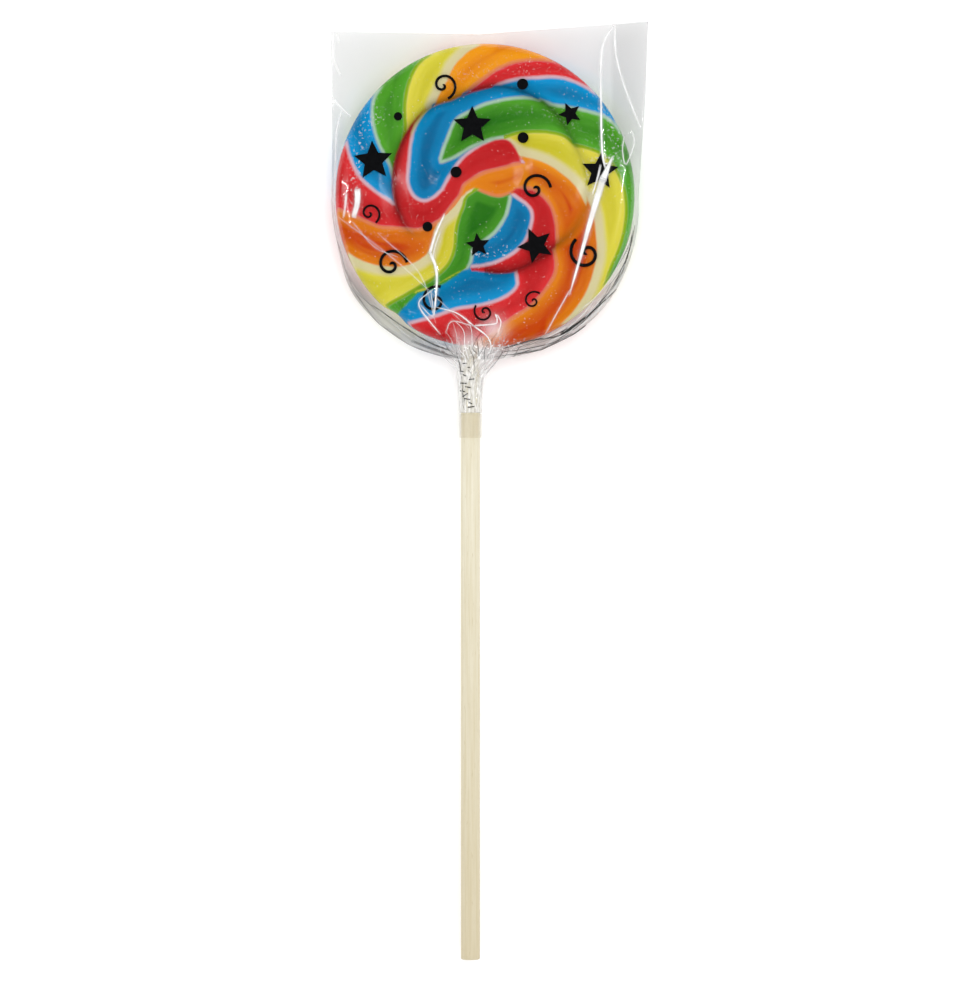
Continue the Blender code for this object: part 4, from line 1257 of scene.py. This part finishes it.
def foldLightMesh():
    points, edges, width, strength, highlightFlag = [], [], [], [], []
    for line, startWidth, endWidth, force, white in foldLightLines():
        start, count = len(points), len(line)
        points += [(p[0] * mm, p[1] * mm, 0) for p in line]
        edges += [(start + k, start + k + 1) for k in range(count - 1)]
        along = np.linspace(0, 1, count)
        width += list((startWidth + (endWidth - startWidth) * along) * mm)
        # a painted fold line fades out at its ends, and its painted highlight or shade comes and goes
        ends = np.clip(np.minimum(along, 1 - along) * paintedFoldLight["ends"], 0, 1)
        fade = paintedFoldLight["faintest"] + (1 - paintedFoldLight["faintest"]) * ends
        glint = 1 - paintedFoldLight["glint"] + paintedFoldLight["glint"] * np.sin(along * paintedFoldLight["glints"] + start)
        strength += list(force * fade * glint)
        highlightFlag += [white] * count
    mesh = bpy.data.meshes.new("foldLightLines")
    mesh.from_pydata(points, edges, [])
    for name, values in (("width", width), ("strength", strength), ("highlightFlag", highlightFlag)):
        addAttribute(mesh, name, values)
    return mesh


def dropOnFilm(tree, film):
    # reads where a point lands when it drops straight down onto the film
    spot = addNode(tree, "GeometryNodeInputPosition")
    above = addNode(tree, "ShaderNodeVectorMath", {
        0: spot.outputs[0], 1: (0, 0, fall["from"])}, operation="ADD")
    return addNode(tree, "GeometryNodeRaycast", {
        "Target Geometry": film, "Source Position": above.outputs[0], "Ray Direction": (0, 0, -1),
        "Ray Length": fall["reach"]})


def foldLightTree():
    inputs = (("Step", "NodeSocketFloat"), ("Lift", "NodeSocketFloat"), ("Film", "NodeSocketObject"),
              ("Finish", "NodeSocketMaterial"))
    tree, given, result = newTree("paintedFoldLightRibbons", inputs)
    film = addNode(tree, "GeometryNodeObjectInfo", {"Object": given.outputs["Film"]}).outputs["Geometry"]
    curves = addNode(tree, "GeometryNodeMeshToCurve", {"Mesh": given.outputs["Geometry"]})
    even = addNode(tree, "GeometryNodeResampleCurve", {
        "Curve": curves.outputs[0], "Length": given.outputs["Step"]}, mode="LENGTH")
    drop = dropOnFilm(tree, film)
    missed = addNode(tree, "FunctionNodeBooleanMath", {0: drop.outputs["Is Hit"]}, operation="NOT")
    kept = addNode(tree, "GeometryNodeDeleteGeometry", {
        "Geometry": even.outputs[0], "Selection": missed.outputs[0]}, domain="POINT")
    lift = addNode(tree, "ShaderNodeCombineXYZ", {"Z": given.outputs["Lift"]})
    place = addNode(tree, "ShaderNodeVectorMath", {0: drop.outputs["Hit Position"], 1: lift.outputs[0]},
                    operation="ADD")
    laid = addNode(tree, "GeometryNodeSetPosition", {
        "Geometry": kept.outputs[0], "Position": place.outputs[0]})
    level = addNode(tree, "GeometryNodeSetCurveNormal", {"Curve": laid.outputs[0]}, mode="Z_UP")
    # the ribbon's section has three points, of which the middle one is solid and the sides fade
    section = addNode(tree, "GeometryNodeCurvePrimitiveLine", {"Start": (-1, 0, 0), "End": (1, 0, 0)})
    three = addNode(tree, "GeometryNodeResampleCurve", {
        "Curve": section.outputs[0], "Count": 3}, mode="COUNT")
    index = addNode(tree, "GeometryNodeInputIndex")
    isMiddle = addNode(tree, "FunctionNodeCompare", {2: index.outputs[0], 3: 1}, data_type="INT",
                       operation="EQUAL")
    marked = addNode(tree, "GeometryNodeStoreNamedAttribute", {
        "Geometry": three.outputs[0], "Name": "solid", "Value": isMiddle.outputs[0]},
        data_type="FLOAT", domain="POINT")
    width = addNode(tree, "GeometryNodeInputNamedAttribute", {"Name": "width"})
    ribbon = addNode(tree, "GeometryNodeCurveToMesh", {
        "Curve": level.outputs[0], "Profile Curve": marked.outputs[0], "Scale": width.outputs[0]})
    whole = addNode(tree, "GeometryNodeRealizeInstances", {"Geometry": ribbon.outputs[0]})
    painted = addNode(tree, "GeometryNodeSetMaterial", {
        "Geometry": whole.outputs[0], "Material": given.outputs["Finish"]})
    tree.links.new(painted.outputs[0], result.inputs[0])
    return tree


def paintedFoldLightFinish():
    # Painted light on hard folds: white painted highlight where a fold would catch the light, dark grey
    # painted shade where it turns away
    look = {"white": "#FFFFFF", "dark": "#3C3F3D", "roughness": 0.2, "ior": 1.49, "softEdge": (0.05, 0.6)}
    made, tree = newMaterial("Painted fold highlight and shade")
    values = {}
    for name in ("strength", "solid", "highlightFlag"):
        values[name] = addNode(tree, "ShaderNodeAttribute", attribute_name=name).outputs["Fac"]
    soft = addNode(tree, "ShaderNodeMapRange", {
        0: values["solid"], 1: look["softEdge"][0], 2: look["softEdge"][1]}, interpolation_type="SMOOTHSTEP")
    cover = addNode(tree, "ShaderNodeMath", {0: soft.outputs[0], 1: values["strength"]}, operation="MULTIPLY")
    colour = addNode(tree, "ShaderNodeMix", {
        0: values["highlightFlag"], 6: linear(look["dark"]), 7: linear(look["white"])}, data_type="RGBA")
    fold = addNode(tree, "ShaderNodeBsdfPrincipled", {
        "Base Color": colour.outputs[2], "Roughness": look["roughness"], "IOR": look["ior"]})
    clear = addNode(tree, "ShaderNodeBsdfTransparent")
    shader = addNode(tree, "ShaderNodeMixShader", {
        0: cover.outputs[0], 1: clear.outputs[0], 2: fold.outputs[0]})
    addNode(tree, "ShaderNodeOutputMaterial", {"Surface": shader.outputs[0]})
    return made


def thicken(piece, thickness):
    solid = piece.modifiers.new("Thickness", "SOLIDIFY")
    solid.thickness = thickness
    solid.offset = 1.0


def makeFoldLight():
    piece = growMesh("film_creases", foldLightTree(), {
        "Step": paintedFoldLight["step"], "Lift": paintedFoldLight["lift"], "Film": filmPiece, "Finish": paintedFoldLightFinish()},
        foldLightMesh())
    thicken(piece, paintedFoldLight["thickness"])
    finishPiece(piece, "film")
    print("creases", len(piece.data.polygons), "faces")


makeFoldLight()


# Print on the film: stars, dots and paper-streamer curls scattered in black ink, and dashes on the neck

printing = {
    "spread": 37.0 * mm, "spacing": 15.5 * mm, "starSize": 5.8 * mm, "dotSize": 1.5 * mm,
    "curlSize": 4.8 * mm, "curlStroke": 0.45 * mm, "lift": 0.03 * mm, "thickness": 0.02 * mm, "seed": 3,
    "starNotch": 0.46, "curlTurns": 1.3, "curlPoints": 30, "sizes": (0.65, 1.2),
    "dotSides": 16, "sheetSides": 64,
    "dashes": 12, "dashTop": -52.5, "dashBottom": -67.5, "dashWidth": 0.16,
    "dashX": (-7.4, -3.6), "dashAngle": (55, 115), "dashLength": (0.4, 1.1),
}


def dashMesh():
    # short strokes one under another down the gathered neck
    draw = random.Random(printing["seed"])
    points, faces = [], []
    top, bottom = printing["dashTop"], printing["dashBottom"]
    for k in range(printing["dashes"]):
        part = (k + 0.5) / printing["dashes"]
        centre = np.array((draw.uniform(*printing["dashX"]), top + (bottom - top) * part))
        ahead = polar(draw.uniform(*printing["dashAngle"]), draw.uniform(*printing["dashLength"]))
        aside = np.array((-ahead[1], ahead[0])) / np.hypot(*ahead) * printing["dashWidth"]
        reaches = (-ahead - aside, ahead - aside, ahead + aside, aside - ahead)
        corners = [centre + reach for reach in reaches]
        start = len(points)
        points += [(x * mm, y * mm, 0) for x, y in corners]
        faces.append((start, start + 1, start + 2, start + 3))
    mesh = bpy.data.meshes.new("dashes")
    mesh.from_pydata(points, [], faces)
    return mesh


def printTree():
    sizes = ("Spread Radius", "Spacing", "Star Size", "Dot Size", "Curl Size", "Curl Stroke", "Lift")
    inputs = [(label, "NodeSocketFloat") for label in sizes]
    inputs += [("Seed", "NodeSocketInt"), ("Film", "NodeSocketObject"), ("Ink", "NodeSocketMaterial")]
    tree, given, result = newTree("scatteredPrint", inputs)
    seed = given.outputs["Seed"]
    sheet = addNode(tree, "GeometryNodeMeshCircle", {
        "Vertices": printing["sheetSides"], "Radius": given.outputs["Spread Radius"]}, fill_type="NGON")
    spots = addNode(tree, "GeometryNodeDistributePointsOnFaces", {
        "Mesh": sheet.outputs[0], "Distance Min": given.outputs["Spacing"], "Density Max": 1e6,
        "Density Factor": 1.0, "Seed": seed}, distribute_method="POISSON")
    # a five-pointed star, a dot and a curl
    notch = addNode(tree, "ShaderNodeMath", {0: given.outputs["Star Size"], 1: printing["starNotch"]},
                    operation="MULTIPLY")
    starLine = addNode(tree, "GeometryNodeCurveStar", {
        "Points": 5, "Inner Radius": notch.outputs[0], "Outer Radius": given.outputs["Star Size"]})
    star = addNode(tree, "GeometryNodeFillCurve", {"Curve": starLine.outputs[0]}, mode="TRIANGLES")
    dot = addNode(tree, "GeometryNodeMeshCircle", {
        "Vertices": printing["dotSides"], "Radius": given.outputs["Dot Size"]}, fill_type="TRIANGLE_FAN")
    turn = addNode(tree, "GeometryNodeCurveSpiral", {
        "Resolution": printing["curlPoints"], "Rotations": printing["curlTurns"], "Start Radius": 0.0,
        "End Radius": given.outputs["Curl Size"], "Height": 0.0})
    levelled = addNode(tree, "GeometryNodeSetCurveNormal", {"Curve": turn.outputs[0]}, mode="Z_UP")
    section = addNode(tree, "GeometryNodeCurvePrimitiveLine", {"Start": (-1, 0, 0), "End": (1, 0, 0)})
    curl = addNode(tree, "GeometryNodeCurveToMesh", {
        "Curve": levelled.outputs[0], "Profile Curve": section.outputs[0],
        "Scale": given.outputs["Curl Stroke"]})
    motifs = addNode(tree, "GeometryNodeJoinGeometry")
    for motif in (star, dot, curl):
        single = addNode(tree, "GeometryNodeGeometryToInstance", {0: motif.outputs[0]})
        tree.links.new(single.outputs[0], motifs.inputs[0])
    which = addNode(tree, "FunctionNodeRandomValue", {4: 0, 5: 2, "Seed": seed}, data_type="INT")
    turned = addNode(tree, "FunctionNodeRandomValue", {0: (0, 0, 0), 1: (0, 0, math.tau), "Seed": seed},
                     data_type="FLOAT_VECTOR")
    smallest, largest = printing["sizes"]
    size = addNode(tree, "FunctionNodeRandomValue", {2: smallest, 3: largest, "Seed": seed})
    placed = addNode(tree, "GeometryNodeInstanceOnPoints", {
        "Points": spots.outputs[0], "Instance": motifs.outputs[0], "Pick Instance": True,
        "Instance Index": which.outputs[2], "Rotation": turned.outputs[0], "Scale": size.outputs[1]})
    real = addNode(tree, "GeometryNodeRealizeInstances", {"Geometry": placed.outputs[0]})
    both = addNode(tree, "GeometryNodeJoinGeometry")
    tree.links.new(real.outputs[0], both.inputs[0])
    tree.links.new(given.outputs["Geometry"], both.inputs[0])
    fine = addNode(tree, "GeometryNodeSubdivideMesh", {"Mesh": both.outputs[0], "Level": 2})
    film = addNode(tree, "GeometryNodeObjectInfo", {"Object": given.outputs["Film"]}).outputs["Geometry"]
    drop = dropOnFilm(tree, film)
    lift = addNode(tree, "ShaderNodeCombineXYZ", {"Z": given.outputs["Lift"]})
    place = addNode(tree, "ShaderNodeVectorMath", {0: drop.outputs["Hit Position"], 1: lift.outputs[0]},
                    operation="ADD")
    laid = addNode(tree, "GeometryNodeSetPosition", {
        "Geometry": fine.outputs[0], "Position": place.outputs[0]})
    whole = addNode(tree, "GeometryNodeRealizeInstances", {"Geometry": laid.outputs[0]})
    inked = addNode(tree, "GeometryNodeSetMaterial", {
        "Geometry": whole.outputs[0], "Material": given.outputs["Ink"]})
    tree.links.new(inked.outputs[0], result.inputs[0])
    return tree


def flexoInk():
    # Black flexographic ink on film: nearly flat black, a little worn where it is thin
    look = {"thick": "#050506", "thin": "#121315", "worn": 1.2 * mm, "roughness": 0.2, "specular": 0.2}
    made, tree = newMaterial("Black flexographic ink")
    place = addNode(tree, "ShaderNodeTexCoord").outputs["Object"]
    tone = addNode(tree, "ShaderNodeTexNoise", {"Vector": place, "Scale": 1 / look["worn"], "Detail": 3.0})
    colour = addNode(tree, "ShaderNodeMix", {
        0: tone.outputs[0], 6: linear(look["thick"]), 7: linear(look["thin"])}, data_type="RGBA")
    shader = addNode(tree, "ShaderNodeBsdfPrincipled", {
        "Base Color": colour.outputs[2], "Roughness": look["roughness"], "IOR": 1.5,
        "Specular IOR Level": look["specular"]})
    addNode(tree, "ShaderNodeOutputMaterial", {"Surface": shader.outputs[0]})
    return made


def makePrint():
    piece = growMesh("film_print", printTree(), {
        "Spread Radius": printing["spread"], "Spacing": printing["spacing"],
        "Star Size": printing["starSize"], "Dot Size": printing["dotSize"],
        "Curl Size": printing["curlSize"], "Curl Stroke": printing["curlStroke"],
        "Lift": printing["lift"], "Seed": printing["seed"], "Film": filmPiece, "Ink": flexoInk()}, dashMesh())
    thicken(piece, printing["thickness"])
    finishPiece(piece, "film")
    print("print", len(piece.data.polygons), "faces")


makePrint()


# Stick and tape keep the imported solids

def birchWood():
    # Birch dowel, sanded: pale, with fine straight grain along it and a few darker pores
    look = {
        "light": "#E6E0CA", "dark": "#DAD1B4", "pore": "#BDAE86", "foot": "#C0AE84", "roughness": 0.62,
        "grainSize": (0.7 * mm, 28 * mm), "grainTone": (0.35, 0.68), "relief": 0.06 * mm,    # across, along
        "poreSize": (0.35 * mm, 3.5 * mm), "poreTone": (0.64, 0.76), "poreShare": 0.5,
        "footFrom": (-90 * mm, -240 * mm), "footShare": 0.55,
    }
    made, tree = newMaterial("Sanded birch")
    place = addNode(tree, "ShaderNodeTexCoord").outputs["Object"]
    patterns = {}
    for name, detail in (("grain", 4.0), ("pore", 2.0)):
        across, along = look[name + "Size"]
        run = addNode(tree, "ShaderNodeMapping", {
            "Vector": place, "Scale": (1 / across, 1 / along, 1 / across)})
        patterns[name] = addNode(tree, "ShaderNodeTexNoise", {
            "Vector": run.outputs[0], "Scale": 1.0, "Detail": detail}).outputs[0]
    tone = addNode(tree, "ShaderNodeMapRange", {
        0: patterns["grain"], 1: look["grainTone"][0], 2: look["grainTone"][1]})
    pore = addNode(tree, "ShaderNodeMapRange", {
        0: patterns["pore"], 1: look["poreTone"][0], 2: look["poreTone"][1], 4: look["poreShare"]})
    # the dowel is a little browner towards its foot
    down = addNode(tree, "ShaderNodeSeparateXYZ", {0: place})
    foot = addNode(tree, "ShaderNodeMapRange", {
        0: down.outputs["Y"], 1: look["footFrom"][0], 2: look["footFrom"][1], 4: look["footShare"]})
    wood = linear(look["light"])
    for factor, colour in ((tone, "dark"), (pore, "pore"), (foot, "foot")):
        wood = addNode(tree, "ShaderNodeMix", {0: factor.outputs[0], 6: wood, 7: linear(look[colour])},
                       data_type="RGBA").outputs[2]
    relief = addNode(tree, "ShaderNodeBump", {
        "Height": patterns["grain"], "Strength": 0.3, "Distance": look["relief"]})
    shader = addNode(tree, "ShaderNodeBsdfPrincipled", {
        "Base Color": wood, "Roughness": look["roughness"], "Normal": relief.outputs[0], "IOR": 1.5})
    addNode(tree, "ShaderNodeOutputMaterial", {"Surface": shader.outputs[0]})
    return made


def clearTape():
    # Clear office tape: shiny, faintly yellow, with its glue showing as slight cloud
    look = {
        "clear": "#FCFBF9", "glue": "#F6F4EE", "facing": 0.014, "edgeOn": 0.6, "edgeOnPower": 4.0,
        "roughness": 0.16, "haze": 0.07, "cloudSize": 1.6 * mm,
    }
    made, tree = newMaterial("Clear acrylic tape")
    place = addNode(tree, "ShaderNodeTexCoord").outputs["Object"]
    clear = addNode(tree, "ShaderNodeBsdfTransparent", {"Color": linear(look["clear"])})
    edgeOn = addNode(tree, "ShaderNodeLayerWeight", {"Blend": 0.5})
    power = addNode(tree, "ShaderNodeMath", {0: edgeOn.outputs["Facing"], 1: look["edgeOnPower"]},
                    operation="POWER")
    mirror = addNode(tree, "ShaderNodeMath", {0: power.outputs[0], 1: look["edgeOn"], 2: look["facing"]},
                     operation="MULTIPLY_ADD")
    gloss = addNode(tree, "ShaderNodeBsdfGlossy", {"Roughness": look["roughness"]})
    skin = addNode(tree, "ShaderNodeMixShader", {
        0: mirror.outputs[0], 1: clear.outputs[0], 2: gloss.outputs[0]})
    cloud = addNode(tree, "ShaderNodeTexNoise", {
        "Vector": place, "Scale": 1 / look["cloudSize"], "Detail": 3.0})
    haze = addNode(tree, "ShaderNodeMath", {0: cloud.outputs[0], 1: look["haze"]}, operation="MULTIPLY")
    milk = addNode(tree, "ShaderNodeBsdfDiffuse", {"Color": linear(look["glue"])})
    shader = addNode(tree, "ShaderNodeMixShader", {
        0: haze.outputs[0], 1: skin.outputs[0], 2: milk.outputs[0]})
    addNode(tree, "ShaderNodeOutputMaterial", {"Surface": shader.outputs[0]})
    return made


for nodeName, finish in (("stick", birchWood()), ("neck_tape", clearTape())):
    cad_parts[nodeName].material_slots[0].material = finish
print("stick and tape finished")


# Studio: pale floor, soft light and a camera straight above, as the photograph looks at the face

studio = {
    "floorSize": 3.0, "floorDrop": 0.0001, "floorColour": "#FDFDFD", "floorGlow": 0.12, "worldStrength": 0.92,
    "topPower": 6.0, "topSize": (1.2, 1.2), "topPlace": (0.15, 0.25, 1.3),
    "stripPower": 5.0, "stripSize": (0.018, 1.2),
    "leftPlace": (-0.9, 0.1, 0.9), "rightPlace": (0.8, 0.2, 1.0),
    "aim": (0, -0.04, 0), "lens": 200.0, "sensor": 36.0, "clip": (0.05, 20.0),
}


def paperSheet():
    # White paper over a light table: matt, with fine fibres, and shadows on it are faint
    look = {"fibre": 1.0 * mm, "relief": 0.02 * mm, "roughness": 0.9, "specular": 0.1}
    made, tree = newMaterial("White paper")
    place = addNode(tree, "ShaderNodeTexCoord").outputs["Object"]
    fibre = addNode(tree, "ShaderNodeTexNoise", {"Vector": place, "Scale": 1 / look["fibre"], "Detail": 2.0})
    relief = addNode(tree, "ShaderNodeBump", {
        "Height": fibre.outputs[0], "Strength": 0.1, "Distance": look["relief"]})
    shader = addNode(tree, "ShaderNodeBsdfPrincipled", {
        "Base Color": linear(studio["floorColour"]), "Roughness": look["roughness"],
        "Normal": relief.outputs[0], "Specular IOR Level": look["specular"], "Emission Color": (1, 1, 1, 1),
        "Emission Strength": studio["floorGlow"]})
    addNode(tree, "ShaderNodeOutputMaterial", {"Surface": shader.outputs[0]})
    return made


def makeStudio():
    scene = bpy.context.scene
    scene.view_settings.view_transform = "Standard"
    half, z = studio["floorSize"] / 2, -studio["floorDrop"]
    mesh = bpy.data.meshes.new("floor")
    corners = [(-half, -half, z), (half, -half, z), (half, half, z), (-half, half, z)]
    mesh.from_pydata(corners, [], [(0, 1, 2, 3)])
    mesh.materials.append(paperSheet())
    newObject("floor", mesh)
    world = bpy.data.worlds.new("Studio")
    scene.world = world
    world.use_nodes = True
    background = world.node_tree.nodes["Background"]
    background.inputs["Color"].default_value = (1, 1, 1, 1)
    background.inputs["Strength"].default_value = studio["worldStrength"]
    # only the two strips show in reflections, so that the film doesn't veil the candy
    world.cycles_visibility.glossy = False
    lights = (      # name, place, size, power, shows only in reflections
        ("topSoftbox", studio["topPlace"], studio["topSize"], studio["topPower"], False),
        ("leftStrip", studio["leftPlace"], studio["stripSize"], studio["stripPower"], True),
        ("rightStrip", studio["rightPlace"], studio["stripSize"], studio["stripPower"], True),
    )
    for name, spot, size, power, onlyGloss in lights:
        lamp = bpy.data.lights.new(name, "AREA")
        lamp.shape = "RECTANGLE"
        lamp.size, lamp.size_y = size
        lamp.energy = power
        made = newObject(name, lamp)
        made.location = spot
        made.rotation_euler = (Vector(spot) - Vector(studio["aim"])).to_track_quat("Z", "Y").to_euler()
        made.visible_glossy = onlyGloss
        made.visible_diffuse = not onlyGloss
    # the picture's middle and width on the part, from the photograph's scale
    middle = toPart(photo["width"] / 2, photo["height"] / 2)
    width = photo["width"] * photo["millimetresPerPixel"] * mm
    data = bpy.data.cameras.new("camera")
    data.lens, data.sensor_width = studio["lens"], studio["sensor"]
    data.clip_start, data.clip_end = studio["clip"]
    camera = newObject("camera", data)
    distance = width * studio["lens"] / studio["sensor"]
    camera.location = (middle[0] * mm, middle[1] * mm, disc["middle"] + distance)
    scene.camera = camera


makeStudio()
print("studio ready")
